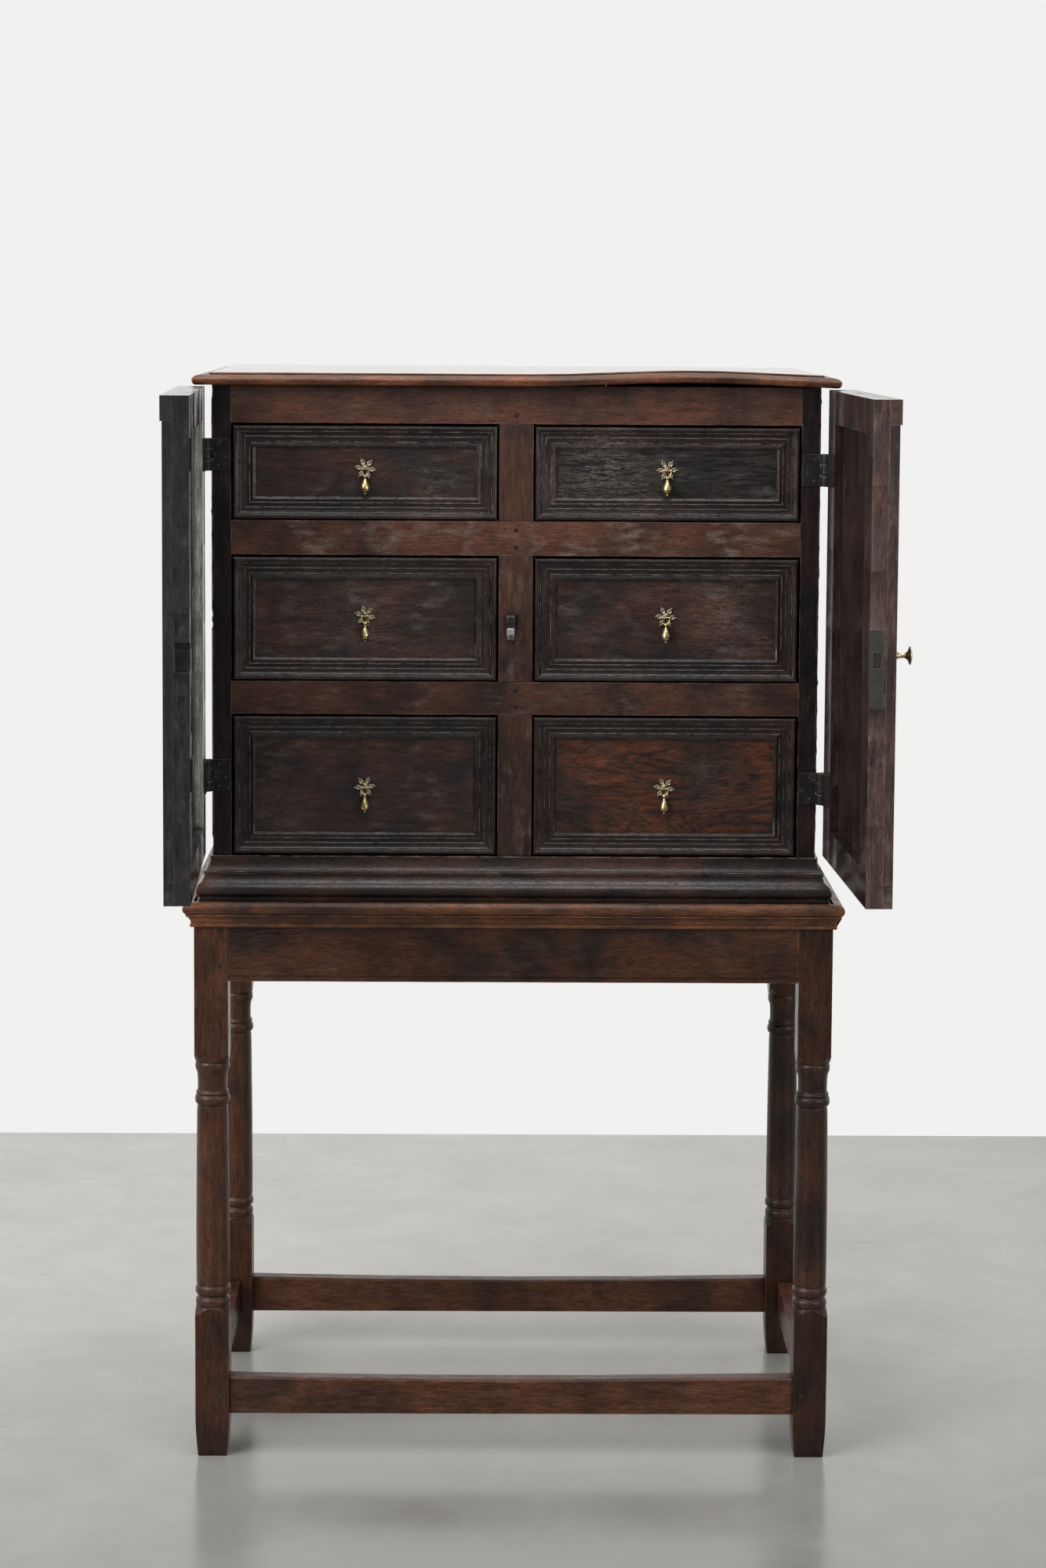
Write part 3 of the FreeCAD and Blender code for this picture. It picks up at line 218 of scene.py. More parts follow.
# Each finish: its ground, the warmer brown of its stains, the dark of its fibres and rings,
# its grey bloom and the brown of its rubbed edges.
oak_stand = patinated_oak("waxed_oak_of_stand", "#271912", "#4b2c1d", "#0d0806", "#574a42", "#8f6c50",
                          figure=0.15, bloom_share=0.3, wax=0.08, shine=0.3)
oak_rim = patinated_oak("rubbed_oak_of_rim", "#40241a", "#744426", "#130a06", "#654a39", "#c08e5e",
                        dull=1.1, wax=0.05, bloom_share=0.25)
oak_case = patinated_oak("waxed_oak_of_case", "#32221d", "#56362a", "#150d0b", "#75665f", "#8f7263",
                         bloom_share=0.6, figure=0.2, streaks=0.25, shine=0.35)
oak_base = patinated_oak("black_oak_of_base", "#120d0b", "#40261a", "#080505", "#40342e", "#c4ae9c",
                         dull=0.8, wax=0.2, flecks=0.6)
oak_stiles = patinated_oak("blackened_oak_of_stiles", "#161112", "#2a1c1c", "#080707", "#3a3533", "#7a6e68",
                           flecks=0.2, wax=0.05, shine=0.25)
oak_drawers = patinated_oak("waxed_oak_of_drawers", "#211918", "#43271e", "#0c0807", "#584d47", "#aa9484",
                            streaks=0.5)
oak_moulding = patinated_oak("black_oak_of_mouldings", "#120e0d", "#2a1914", "#070505", "#352e2b", "#9f8e82",
                             dull=0.7, wax=0.25, flecks=0.6)
oak_cracked = patinated_oak("cracked_oak_of_drawer", "#1b1b1a", "#2a2422", "#090909", "#62605e", "#aaa097",
                            cracks=0.9, streaks=0.5)
oak_figured = patinated_oak("figured_oak_of_drawer", "#24160f", "#562c19", "#0a0605", "#5e4632", "#b08462",
                            figure=0.8, swirl=2.8, streaks=0.5)
oak_doors = patinated_oak("smoked_oak_of_left_door", "#1d1c1c", "#2b2727", "#0c0c0c", "#565552", "#454341",
                          relief=0.3, dull=0.45, wax=0.4, flecks=0.2)
oak_door_right = patinated_oak("purple_oak_of_right_door", "#211817", "#3a2826", "#0d0909", "#5c5150", "#4a3c38",
                               relief=0.3, dull=0.45, wax=0.4, flecks=0.3)
oak_door_edge = patinated_oak("rubbed_oak_of_door_edge", "#332726", "#554039", "#120d0c", "#857a77", "#7d6c64",
                              relief=0.6, dull=0.6, wax=0.3, flecks=0.4)
oak_door_outside = patinated_oak("dark_oak_of_door_fronts", "#231a18", "#3d2a25", "#0d0908", "#5a4f4b", "#7a675c",
                                 relief=0.6, dull=0.7, wax=0.2, flecks=0.4, shine=0.35)
# A painted reflection: the step of the left door's recess is pale grey for the white wall that it mirrors, not for
# the wood's colour.
oak_lip_painted_reflection = patinated_oak("painted_reflection_on_door_recess", "#9d9d94", "#b4b4aa", "#3a3a36", "#c4c4ba", "#a3a298",
                        relief=0.2, dull=0.6, wax=0.2, flecks=0.1)
oak_top = patinated_oak("red_oak_of_top", "#58321a", "#84502f", "#1c0f09", "#8a6d57", "#d0a276",
                        wax=1.0, relief=0.2, dull=0.5)
oak_nosing = patinated_oak("red_oak_of_nosing", "#48291a", "#70422a", "#170c07", "#6c4f40", "#c08e66",
                           wax=0.08, relief=0.6, shine=0.35)
oak_bare = patinated_oak("bare_oak_inside", "#6b4f33", "#7d5f40", "#3f2c1b", "#7f7160", "#a58a68",
                         dull=1.4, wax=0.0)
oak_peg = patinated_oak("dark_peg_ends", "#17100d", "#241712", "#070504", "#2b2321", "#3a2c26")
# Each metal: its ground, its rubbed edges and the dark of its pits; how metallic and rough
# it is, and how fine its pits are.
forged_iron = aged_metal("forged_iron", "#1f1d1c", "#4c4844", "#0f0c0b", 0.4, 0.50, 160.0)
catch_iron = aged_metal("forged_iron_of_catch", "#3a3738", "#a9a5a6", "#1a1718", 0.6, 0.42, 180.0)
lock_iron = aged_metal("lock_iron", "#484643", "#56534f", "#3a3734", 0.5, 0.44, 60.0)
bolt_iron = aged_metal("bolt_iron", "#3d3a38", "#8d877d", "#2b2826", 0.5, 0.40, 90.0)
cast_brass = aged_metal("cast_brass", "#dcc896", "#fbeecb", "#97825a", 1.0, 0.30, 200.0)
pale_brass = aged_metal("pale_brass_of_plates", "#a6987c", "#e2d6bc", "#544b3e", 1.0, 0.40, 420.0)
# Black iron for the nail head, and the painted shade of the old hole beside the catch.
black_iron_and_hole_shade = aged_metal("black_iron_and_painted_hole_shade", "#0a0908", "#141210", "#060505", 0.2, 0.70, 90.0)
rubbed_iron = aged_metal("iron_rubbed_by_bolt", "#7f7b7e", "#bdb9bb", "#3f3c3e", 0.6, 0.44, 260.0)


# ----------------------------------------------------------------- workshop
def choose(piece):
    """Leaves this piece alone selected and active."""
    bpy.ops.object.select_all(action="DESELECT")
    piece.select_set(True)
    bpy.context.view_layer.objects.active = piece


def apply(piece, kind, **settings):
    """Adds a modifier and applies it."""
    choose(piece)
    modifier = piece.modifiers.new(kind.lower(), kind)
    for name, value in settings.items():
        setattr(modifier, name, value)
    bpy.ops.object.modifier_apply(modifier=modifier.name)


plane_marks = bpy.data.textures.new("plane_marks", "CLOUDS")
plane_marks.noise_scale = 0.05
chip_marks = bpy.data.textures.new("chip_marks", "CLOUDS")
chip_marks.noise_scale = 0.009
chip_marks.noise_depth = 2
chip_marks.contrast = 2.2


def copied(node):
    """A copy of a solid, its triangles joined and its flat faces made whole."""
    source = frame["nodes"][node]
    piece = bpy.data.objects.new(node + "_worn", source.data.copy())
    bpy.context.scene.collection.objects.link(piece)
    piece.data.materials.clear()
    choose(piece)
    bpy.ops.object.mode_set(mode="EDIT")
    bpy.ops.mesh.select_all(action="SELECT")
    bpy.ops.mesh.remove_doubles(threshold=0.002 * MM)
    bpy.ops.mesh.dissolve_limited(angle_limit=math.radians(0.6))
    bpy.ops.object.mode_set(mode="OBJECT")
    return piece


def eased(piece, width, segments=2, angle=28):
    """Rounds, by so many millimetres, the edges that turn by more than an angle."""
    apply(piece, "BEVEL", width=width * MM, segments=segments, limit_method="ANGLE",
          angle_limit=math.radians(angle), use_clamp_overlap=True)


def islands(mesh):
    """The loose boards of a mesh, as lists of vertex numbers."""
    links = [[] for _ in mesh.vertices]
    for edge in mesh.edges:
        first, second = edge.vertices
        links[first].append(second)
        links[second].append(first)
    seen = [False] * len(links)
    found = []
    for start in range(len(links)):
        if seen[start]:
            continue
        seen[start] = True
        group = [start]
        for here in group:
            for other in links[here]:
                if not seen[other]:
                    seen[other] = True
                    group.append(other)
        found.append(group)
    return found


def lay_grain(piece, turn, tones):
    """Gives every board of a piece its own grain along its length, and its tone.

    A tone is a lightness, a warmth and a share of bloom; boards take them in
    order from the bottom up. Both are kept at the corners of the faces, so that
    strips that are merged at their mitres stay apart.
    """
    mesh = piece.data
    unturn = Matrix.Rotation(-turn, 3, "Z")
    flat = [unturn @ vertex.co for vertex in mesh.vertices]
    boards = []
    for group in islands(mesh):
        points = [flat[index] for index in group]
        low = Vector([min(point[axis] for point in points) for axis in range(3)])
        high = Vector([max(point[axis] for point in points) for axis in range(3)])
        boards.append((round(low.z, 3), round(low.x, 3), round(low.y, 3), group, high - low))
    boards.sort(key=lambda board: board[:3])
    places = [None] * len(flat)
    values = [None] * len(flat)
    for index, (z, x, y, group, size) in enumerate(boards):
        longest = max(range(3), key=lambda axis: size[axis])
        order = (longest, (longest + 1) % 3, (longest + 2) % 3)
        shift = Vector((z * 7.3 + index * 0.37, x * 5.1 + index * 0.61, y * 3.7))
        for vertex in group:
            places[vertex] = Vector([flat[vertex][axis] for axis in order]) + shift
            values[vertex] = tones[index % len(tones)]
    for label, at_vertex in (("board", places), ("tone", values)):
        kept = mesh.attributes.new(label, "FLOAT_VECTOR", "CORNER")
        for index, corner in enumerate(mesh.loops):
            kept.data[index].vector = at_vertex[corner.vertex_index]
    return piece


def door_turn(node):
    """How far the body of a node stands turned at rest."""
    for body, angle in DOOR_ANGLE.items():
        if node.startswith(body):
            return angle
    return 0.0


def body_of(node):
    """The body that carries a node."""
    for body, members in frame["record"]["behaviour"]["bodies"].items():
        if node in members:
            return body
    raise ValueError(node)


def placed_on(piece, node):
    """The piece stands for the node: its body, its place."""
    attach(piece, body_of(node))
    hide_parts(node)
    return piece


def sliced(piece, step):
    """Cuts a piece into slices along each axis, so that its faces can wander."""
    choose(piece)
    bpy.ops.object.mode_set(mode="EDIT")
    for axis in range(3):
        values = [vertex.co[axis] for vertex in piece.data.vertices]
        low, high = min(values), max(values)
        count = int((high - low) / step)
        normal = [0.0, 0.0, 0.0]
        normal[axis] = 1.0
        for index in range(1, count):
            place = [0.0, 0.0, 0.0]
            place[axis] = low + (high - low) * index / count
            bpy.ops.mesh.select_all(action="SELECT")
            bpy.ops.mesh.bisect(plane_co=place, plane_no=normal)
    bpy.ops.object.mode_set(mode="OBJECT")


# The tone of a board as its finish is written, and how deep a chip bites, in millimetres.
PLAIN = ((1.0, 0.0, 1.0),)
CHIP_DEPTH = 1.8


def smoothed(piece, angle=32):
    """Soft shading across edges that turn by less than an angle."""
    choose(piece)
    bpy.ops.object.shade_smooth_by_angle(angle=math.radians(angle))
    apply(piece, "WEIGHTED_NORMAL", keep_sharp=True)


def wandered(piece, wander, marks=plane_marks):
    """Faces that sink here and there by up to so many millimetres."""
    apply(piece, "DISPLACE", texture=marks, strength=wander * MM, mid_level=1.0, texture_coords="GLOBAL")


def chipped(piece, depth, rough):
    """Bites taken out of the edges where the test of a place, in millimetres, holds."""
    group = piece.vertex_groups.new(name="rough_edge")
    group.add([vertex.index for vertex in piece.data.vertices if rough(vertex.co / MM)], 1.0, "REPLACE")
    apply(piece, "DISPLACE", texture=chip_marks, strength=depth * MM, mid_level=1.0, texture_coords="GLOBAL",
          vertex_group=group.name)
    piece.vertex_groups.clear()


def worn(node, material, rounding=0.8, wander=0.35, step=30.0, tones=PLAIN, rough=None):
    """A copy of a node with rounded edges and faces that wander a little."""
    piece = copied(node)
    if wander:
        sliced(piece, step * MM)
    eased(piece, rounding)
    if wander:
        wandered(piece, wander)
    if rough:
        chipped(piece, CHIP_DEPTH, rough)
    smoothed(piece)
    piece.data.materials.append(material)
    lay_grain(piece, door_turn(node), tones)
    return placed_on(piece, node)


# ------------------------------------------------------------- drawer fronts
# The moulding round a drawer front, inward and outward in millimetres: a bead, a
# fillet, a hollow that is scratched along its middle, a step and a small bead.
DRAWER_MOULDING = (
    (0, 0), (0, 2.0), (0.3, 3.4), (1.0, 4.9), (2.2, 6.1), (3.8, 6.7), (5.4, 6.6), (6.8, 5.9), (7.6, 4.8), (8.0, 4.6),
    (9.3, 4.8), (9.4, 3.9), (10.4, 3.0), (12.0, 2.5), (14.6, 2.2), (14.9, 2.7), (16.2, 2.7), (16.5, 2.0),
    (21.0, 1.9), (21.2, 3.3), (22.6, 3.5), (22.9, 2.6), (24.0, 3.0), (25.6, 3.6), (27.2, 3.6), (28.6, 2.8),
    (29.2, 1.6), (30.0, 1.2), (30.0, 0),
)


def first_point(name):
    """A piece of one vertex at the origin, in edit mode, from which a profile is drawn."""
    bpy.ops.object.select_all(action="DESELECT")
    bpy.ops.mesh.primitive_plane_add(size=MM)
    piece = bpy.context.object
    piece.name = name
    bpy.ops.object.mode_set(mode="EDIT")
    bpy.ops.mesh.select_all(action="SELECT")
    bpy.ops.mesh.merge(type="CENTER")
    return piece


def mitred_strip(name, profile, length):
    """A moulding along X whose outer edge lies on the X axis, mitred at both ends."""
    piece = first_point(name)
    for (inward, out), (next_inward, next_out) in zip(profile, profile[1:]):
        step = (0, (out - next_out) * MM, (next_inward - inward) * MM)
        bpy.ops.mesh.extrude_region_move(TRANSFORM_OT_translate={"value": step})
    bpy.ops.mesh.select_all(action="SELECT")
    bpy.ops.mesh.edge_face_add()
    bpy.ops.mesh.extrude_region_move(TRANSFORM_OT_translate={"value": (length, 0, 0)})
    for start, lean in ((0, 1), (length, -1)):
        bpy.ops.mesh.select_all(action="SELECT")
        bpy.ops.mesh.bisect(plane_co=(start, 0, 0), plane_no=(-lean, 0, 1), clear_outer=True)
    bpy.ops.object.mode_set(mode="OBJECT")
    return piece


def block(low, high):
    """A sawn block between two corners."""
    bpy.ops.object.select_all(action="DESELECT")
    low, high = Vector(low), Vector(high)
    bpy.ops.mesh.primitive_cube_add(size=1, location=(low + high) / 2, scale=high - low)
    piece = bpy.context.object
    bpy.ops.object.transform_apply(location=True, rotation=True, scale=True)
    return piece


# A moulding's strips are sliced at this length, so that they can wander.
STRIP_SLICE = 25 * MM


def moulded_frame(profile, left, bottom, wide, tall, face, material, tone):
    """Four mitred strips round a rectangle, planted on a face that looks to the front."""
    right, top = left + wide, bottom + tall
    corners = (((left, bottom), 0, wide), ((right, bottom), -90, tall),
               ((right, top), -180, wide), ((left, top), -270, tall))
    strips = []
    for (x, z), turn, length in corners:
        strip = mitred_strip("strip", profile, length)
        sliced(strip, STRIP_SLICE)
        strip.data.transform(Matrix.Translation((x, face, z)) @ Matrix.Rotation(math.radians(turn), 4, "Y"))
        strip.data.materials.append(material)
        lay_grain(strip, 0.0, (tone,))
        strips.append(strip)
    whole = joined("moulded_frame", strips)
    bpy.ops.object.mode_set(mode="EDIT")
    bpy.ops.mesh.select_all(action="SELECT")
    bpy.ops.mesh.remove_doubles(threshold=0.01 * MM)
    bpy.ops.mesh.normals_make_consistent(inside=False)
    bpy.ops.object.mode_set(mode="OBJECT")
    return whole


def blotched(piece, spots, label="scuff"):
    """Paints scuffs or splits: at each spot's x and z, as far as its radius, as strong as its share."""
    mesh = piece.data
    scuff = mesh.attributes.new(label, "FLOAT", "POINT")
    for index, vertex in enumerate(mesh.vertices):
        strength = 0.0
        for x, z, radius, share in spots:
            distance = math.hypot(vertex.co.x / MM - x, vertex.co.z / MM - z)
            strength = max(strength, share * max(0.0, 1 - distance / radius))
        scuff.data[index].value = strength


# Material, tone and scuffs (x, z and radius in millimetres, and share) of each drawer front.
DRAWERS = {
    "drawer_1_front": (oak_drawers, (1.0, -0.05, 1.0), ((-110, 1262, 60, 0.35),)),
    "drawer_2_front": (oak_cracked, (1.05, 0.0, 1.2),
                       ((110, 1300, 70, 0.95), (150, 1280, 60, 0.6), (60, 1270, 40, 0.5))),
    "drawer_3_front": (oak_drawers, (1.45, -0.15, 1.7), ((-190, 1110, 130, 0.3),)),
    "drawer_4_front": (oak_drawers, (1.05, 0.0, 1.2), ((262, 1110, 60, 0.55), (290, 1140, 40, 0.4))),
    "drawer_5_front": (oak_drawers, (1.12, -0.1, 1.2), ((-300, 850, 50, 0.3),)),
    "drawer_6_front": (oak_figured, (1.08, 0.15, 0.4), ((250, 900, 50, 0.3),)),
}


# The thickness of a drawer front's board, and the slices it is cut in to wander.
FRONT_BOARD, FRONT_SLICE = 18 * MM, 12 * MM


def drawer_front(node):
    """A board with four mitred strips of moulding round its edge."""
    material, tone, spots = DRAWERS[node]
    low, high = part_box(node)
    board_face = high.y - FRONT_BOARD
    board = block((low.x, board_face, low.z), high)
    board.data.materials.append(material)
    sliced(board, FRONT_SLICE)
    lay_grain(board, 0.0, (tone,))
    mouldings = moulded_frame(DRAWER_MOULDING, low.x, low.z, high.x - low.x, high.z - low.z, board_face,
                              oak_moulding, tone)
    front = joined(node + "_dressed", [board, mouldings])
    eased(front, 0.22, 1, 50)
    wandered(front, 0.25)
    smoothed(front, 24)
    blotched(front, spots)
    return placed_on(front, node)


# ------------------------------------------------------- turned and cast work
def lathed(name, stations, steps):
    """A turning about the Z axis, from pairs of radius and height in millimetres."""
    piece = first_point(name)
    radius, height = stations[0]
    bpy.ops.transform.translate(value=(radius * MM, 0, height * MM))
    for next_radius, next_height in stations[1:]:
        step = ((next_radius - radius) * MM, 0, (next_height - height) * MM)
        bpy.ops.mesh.extrude_region_move(TRANSFORM_OT_translate={"value": step})
        radius, height = next_radius, next_height
    bpy.ops.mesh.select_all(action="SELECT")
    bpy.ops.mesh.spin(steps=steps, angle=math.tau, center=(0, 0, 0), axis=(0, 0, 1))
    bpy.ops.mesh.select_all(action="SELECT")
    bpy.ops.mesh.remove_doubles(threshold=0.004 * MM)
    bpy.ops.mesh.normals_make_consistent(inside=False)
    bpy.ops.object.mode_set(mode="OBJECT")
    return piece


def joined(name, pieces):
    """Several pieces as one, named."""
    choose(pieces[0])
    for piece in pieces:
        piece.select_set(True)
    bpy.ops.object.join()
    whole = bpy.context.object
    whole.name = name
    return whole


def placed_copy(piece, name, matrix):
    """A copy with its own mesh, whose place is in that mesh."""
    twin = bpy.data.objects.new(name, piece.data.copy())
    bpy.context.scene.collection.objects.link(twin)
    twin.data.transform(matrix)
    return twin


def ball(radius, place, squash=(1.0, 1.0, 1.0)):
    """A small ball, which a casting is built up from."""
    bpy.ops.object.select_all(action="DESELECT")
    bpy.ops.mesh.primitive_uv_sphere_add(segments=14, ring_count=8, radius=radius * MM)
    piece = bpy.context.object
    piece.data.transform(Matrix.Diagonal((*squash, 1.0)))
    piece.data.transform(Matrix.Translation(Vector(place) * MM))
    return piece


def ring(radius, bar, place, stretch=1.0):
    """A ring that faces the front."""
    bpy.ops.object.select_all(action="DESELECT")
    bpy.ops.mesh.primitive_torus_add(major_segments=24, minor_segments=8, major_radius=radius * MM,
                                     minor_radius=bar * MM)
    piece = bpy.context.object
    piece.data.transform(Matrix.Rotation(math.radians(90), 4, "X"))
    piece.data.transform(Matrix.Diagonal((1.0, 1.0, stretch, 1.0)))
    piece.data.transform(Matrix.Translation(Vector(place) * MM))
    return piece


def cast(piece, voxel, share):
    """Melts the parts of a casting into one skin with soft corners."""
    apply(piece, "REMESH", mode="VOXEL", voxel_size=voxel * MM)
    apply(piece, "SMOOTH", factor=0.5, iterations=2)
    apply(piece, "DECIMATE", ratio=share)
    choose(piece)
    bpy.ops.object.shade_smooth()


# Radius and height of the legs' turning, from the foot up: block, lamb's tongue,
# cushion, reel, bead, column, ring, neck, cushion, lamb's tongue, block.
LEG_STATIONS = (
    (0, -12), (34, -12), (34, 183), (33, 186.5), (30, 190), (27, 192.8), (24.6, 195.4), (23.3, 197.2),
    (22.7, 198.4), (21.5, 199.4), (21.5, 200.2), (22.3, 201.2), (22.8, 203.4), (22.8, 206), (22.2, 208.6),
    (21.0, 210.6), (19.8, 211.6), (19.5, 212.6), (19.8, 213.8), (21.3, 214.4), (22.5, 216), (23.2, 218.6),
    (23.3, 221), (22.9, 223.6), (22.0, 225.6), (21.0, 226.5), (20.8, 227.5), (21.7, 228.5), (22.0, 231),
    (22.05, 262), (21.9, 310), (21.6, 360), (21.2, 405), (20.8, 440), (20.5, 460), (20.2, 464.5),
    (19.7, 466.8), (20.4, 468), (22.0, 469.2), (22.9, 471.2), (23.2, 473.8), (23.1, 476.4), (22.5, 478.8),
    (21.4, 480.6), (20.6, 481.4), (21.4, 482.1), (21.8, 483.4), (21.4, 484.8), (20.2, 486), (19.6, 487.4),
    (19.4, 492), (19.5, 501), (19.9, 508), (20.6, 511.4), (21.7, 513.6), (22.5, 516), (22.8, 519),
    (22.6, 521.6), (22.0, 523.4), (21.4, 524.4), (22.2, 525.4), (23.0, 526.6), (24.4, 528.6),
    (26.6, 531.4), (29, 534), (31.2, 536.4), (33, 538.8), (34, 541.5), (34, 746), (0, 746),
)
# Between these heights the blank is wider, so that the turning alone gives the leg's shape.
TURNED_FROM, TURNED_TO = 212.7, 487.5
LEG_SIDE = 44.6 * MM
# The foot ends' height, and their lightness beside the rest of the leg.
FOOT_END, FOOT_LIGHTNESS = 200 * MM, 0.66
# The taper of a foot: up to what height, by what share, and how it curves.
TAPER_TOP, TAPER_SHARE, TAPER_CURVE = 58, 0.145, 1.8
# Lightness, warmth and bloom of each leg; the right legs' lower lightness is painted shade, for light that comes from
# the left.
LEG_TONES = {
    "stand_leg_front_left": (1.0, 0.45, 0.3),
    "stand_leg_front_right": (0.72, 0.1, 0.4),
    "stand_leg_back_left": (1.0, 0.2, 0.4),
    "stand_leg_back_right": (0.8, 0.1, 0.4),
}


def darkened_below(piece, level, share):
    """The foot end of a leg below a level, darker from years of mopping."""
    mesh = piece.data
    tone = mesh.attributes["tone"]
    for index, corner in enumerate(mesh.loops):
        if mesh.vertices[corner.vertex_index].co.z < level:
            tone.data[index].vector[0] *= share


def squared_blank(side, height):
    """A squared leg blank: edges worn round, foot tapered, wider where it is turned."""
    piece = block((-side / 2, -side / 2, 0), (side / 2, side / 2, height))
    eased(piece, 1.3)
    choose(piece)
    bpy.ops.object.mode_set(mode="EDIT")
    heights = [8, 16, 28, 42, TAPER_TOP, 80, 110, 145, 170]
    heights += [TURNED_FROM - 0.4, TURNED_FROM, TURNED_TO, TURNED_TO + 0.4]
    heights += [540 + 24 * step for step in range(8)]
    # Cuts round the blank, closer where it tapers, let its faces wander.
    for level in heights:
        bpy.ops.mesh.select_all(action="SELECT")
        bpy.ops.mesh.bisect(plane_co=(0, 0, level * MM), plane_no=(0, 0, 1))
    bpy.ops.object.mode_set(mode="OBJECT")
    for vertex in piece.data.vertices:
        level = vertex.co.z / MM
        scale = 1.0
        if level < TAPER_TOP:
            scale = 1.0 - TAPER_SHARE * (1 - level / TAPER_TOP) ** TAPER_CURVE
        if TURNED_FROM - 0.1 < level < TURNED_TO + 0.1:
            scale = 1.2
        vertex.co.x *= scale
        vertex.co.y *= scale
    return piece


def turned_legs(material):
    """Four legs from one turning, each of them in its own length of oak."""
    low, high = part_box("stand_leg_front_left")
    turning = lathed("leg_turning", LEG_STATIONS, 44)
    blank = squared_blank(LEG_SIDE, high.z - low.z)
    apply(turning, "BOOLEAN", object=blank, operation="INTERSECT", solver="EXACT")
    bpy.data.objects.remove(blank)
    for node, tone in LEG_TONES.items():
        low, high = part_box(node)
        middle = (low + high) / 2
        leg = placed_copy(turning, node + "_turned", Matrix.Translation((middle.x, middle.y, 0)))
        wandered(leg, 0.5)
        smoothed(leg, 40)
        leg.data.materials.append(material)
        lay_grain(leg, 0.0, (tone,))
        darkened_below(leg, FOOT_END, FOOT_LIGHTNESS)
        placed_on(leg, node)
    bpy.data.objects.remove(turning)


def handle_plates(material):
    """Pierced plates of six petals, each with two lobes and a bead, about a boss with an eye."""
    petal = joined("petal", [
        ring(2.35, 0.75, (0, -0.9, 8.2), 1.3),
        ball(2.2, (0, -0.3, 8.2), (1.0, 0.22, 1.3)),
        ball(1.25, (-1.7, -0.8, 10.4), (1.0, 0.7, 1.0)),
        ball(1.25, (1.7, -0.8, 10.4), (1.0, 0.7, 1.0)),
        ball(0.9, (0, -0.8, 12.0), (0.8, 0.8, 1.4)),
        ball(1.05, (0, -0.9, 13.2)),
        ball(1.3, (0, -0.8, 5.0), (1.0, 0.7, 1.4)),
    ])
    parts = []
    for index in range(6):
        turn = Matrix.Rotation(math.radians(60 * index + 35), 4, "Y")
        parts.append(placed_copy(petal, "petal_copy", turn))
    bpy.data.objects.remove(petal)
    parts.append(ball(4.7, (0, -1.2, 0.6), (1.0, 0.62, 1.0)))
    parts.append(ring(4.3, 0.7, (0, -1.3, 0.3)))
    parts.append(ball(2.1, (0, -5.4, 0.6), (0.85, 1.6, 1.1)))
    plate = joined("plate", parts)
    cast(plate, 0.28, 0.45)
    plate.data.materials.append(material)
    for number in range(1, 7):
        node = "drawer_%d_handle" % number
        low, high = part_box(node)
        face = Vector(((low.x + high.x) / 2, high.y, (low.z + high.z) / 2))
        tilt = Matrix.Rotation(math.radians((number * 37) % 23 - 11), 4, "Y")
        twin = placed_copy(plate, node + "_cast", Matrix.Translation(face) @ tilt)
        placed_on(twin, node)
    bpy.data.objects.remove(plate)


# Radius and height of a pear drop, down from its eye.
PEAR_STATIONS = (
    (0, -8.0), (2.0, -8.4), (3.0, -9.2), (3.0, -10.2), (2.1, -11.0), (1.8, -11.8), (2.0, -13.2), (2.6, -15.2),
    (3.9, -17.6), (5.1, -20.2), (6.0, -22.6), (6.4, -24.8), (6.2, -26.8), (5.2, -28.6), (3.6, -29.8),
    (2.0, -30.4), (1.2, -30.6), (1.2, -30.9), (1.7, -31.3), (1.8, -31.9), (1.2, -32.8), (0, -33),
)
DROP_LENGTH = 33 * MM


def handle_drops(material):
    """Pear drops, each under a stirrup that hangs by two small balls."""
    stirrup = ring(4.7, 1.05, (0, 0, -2.6), 1.32)
    choose(stirrup)
    bpy.ops.object.mode_set(mode="EDIT")
    bpy.ops.mesh.select_all(action="SELECT")
    bpy.ops.mesh.bisect(plane_co=(0, 0, -0.6 * MM), plane_no=(0, 0, 1), use_fill=True, clear_outer=True)
    bpy.ops.object.mode_set(mode="OBJECT")
    parts = [stirrup, lathed("pear", PEAR_STATIONS, 32)]
    parts += [ball(1.6, (-4.5, 0, -0.2)), ball(1.6, (4.5, 0, -0.2))]
    parts += [ball(1.0, (0, 0, -0.2), (5.0, 1.0, 1.0))]
    drop = joined("drop", parts)
    cast(drop, 0.24, 0.6)
    drop.data.materials.append(material)
    for number in range(1, 7):
        node = "drawer_%d_drop" % number
        low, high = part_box(node)
        eye = Vector(((low.x + high.x) / 2, (low.y + high.y) / 2, low.z + DROP_LENGTH))
        placed_on(placed_copy(drop, node + "_cast", Matrix.Translation(eye)), node)
    bpy.data.objects.remove(drop)


# Radius and height of the knob, out from the door.
KNOB_STATIONS = (
    (0, 0), (5.5, 0), (5.8, 0.7), (5.3, 1.5), (4.8, 1.9), (5.2, 2.4), (5.0, 3.2), (4.1, 3.9), (3.6, 5),
    (3.2, 7), (3.0, 9.5), (3.0, 11.5), (3.3, 13.3), (4.2, 15), (6.0, 16.5), (8.6, 17.6), (10.5, 18.3),
    (11.1, 18.8), (11.0, 19.4), (9.6, 20.2), (6.5, 21.2), (3, 21.8), (0, 22),
)
# How far out the knob's disc stands, and the radius of its foot.
KNOB_DISC, KNOB_FOOT = 19, 5.8


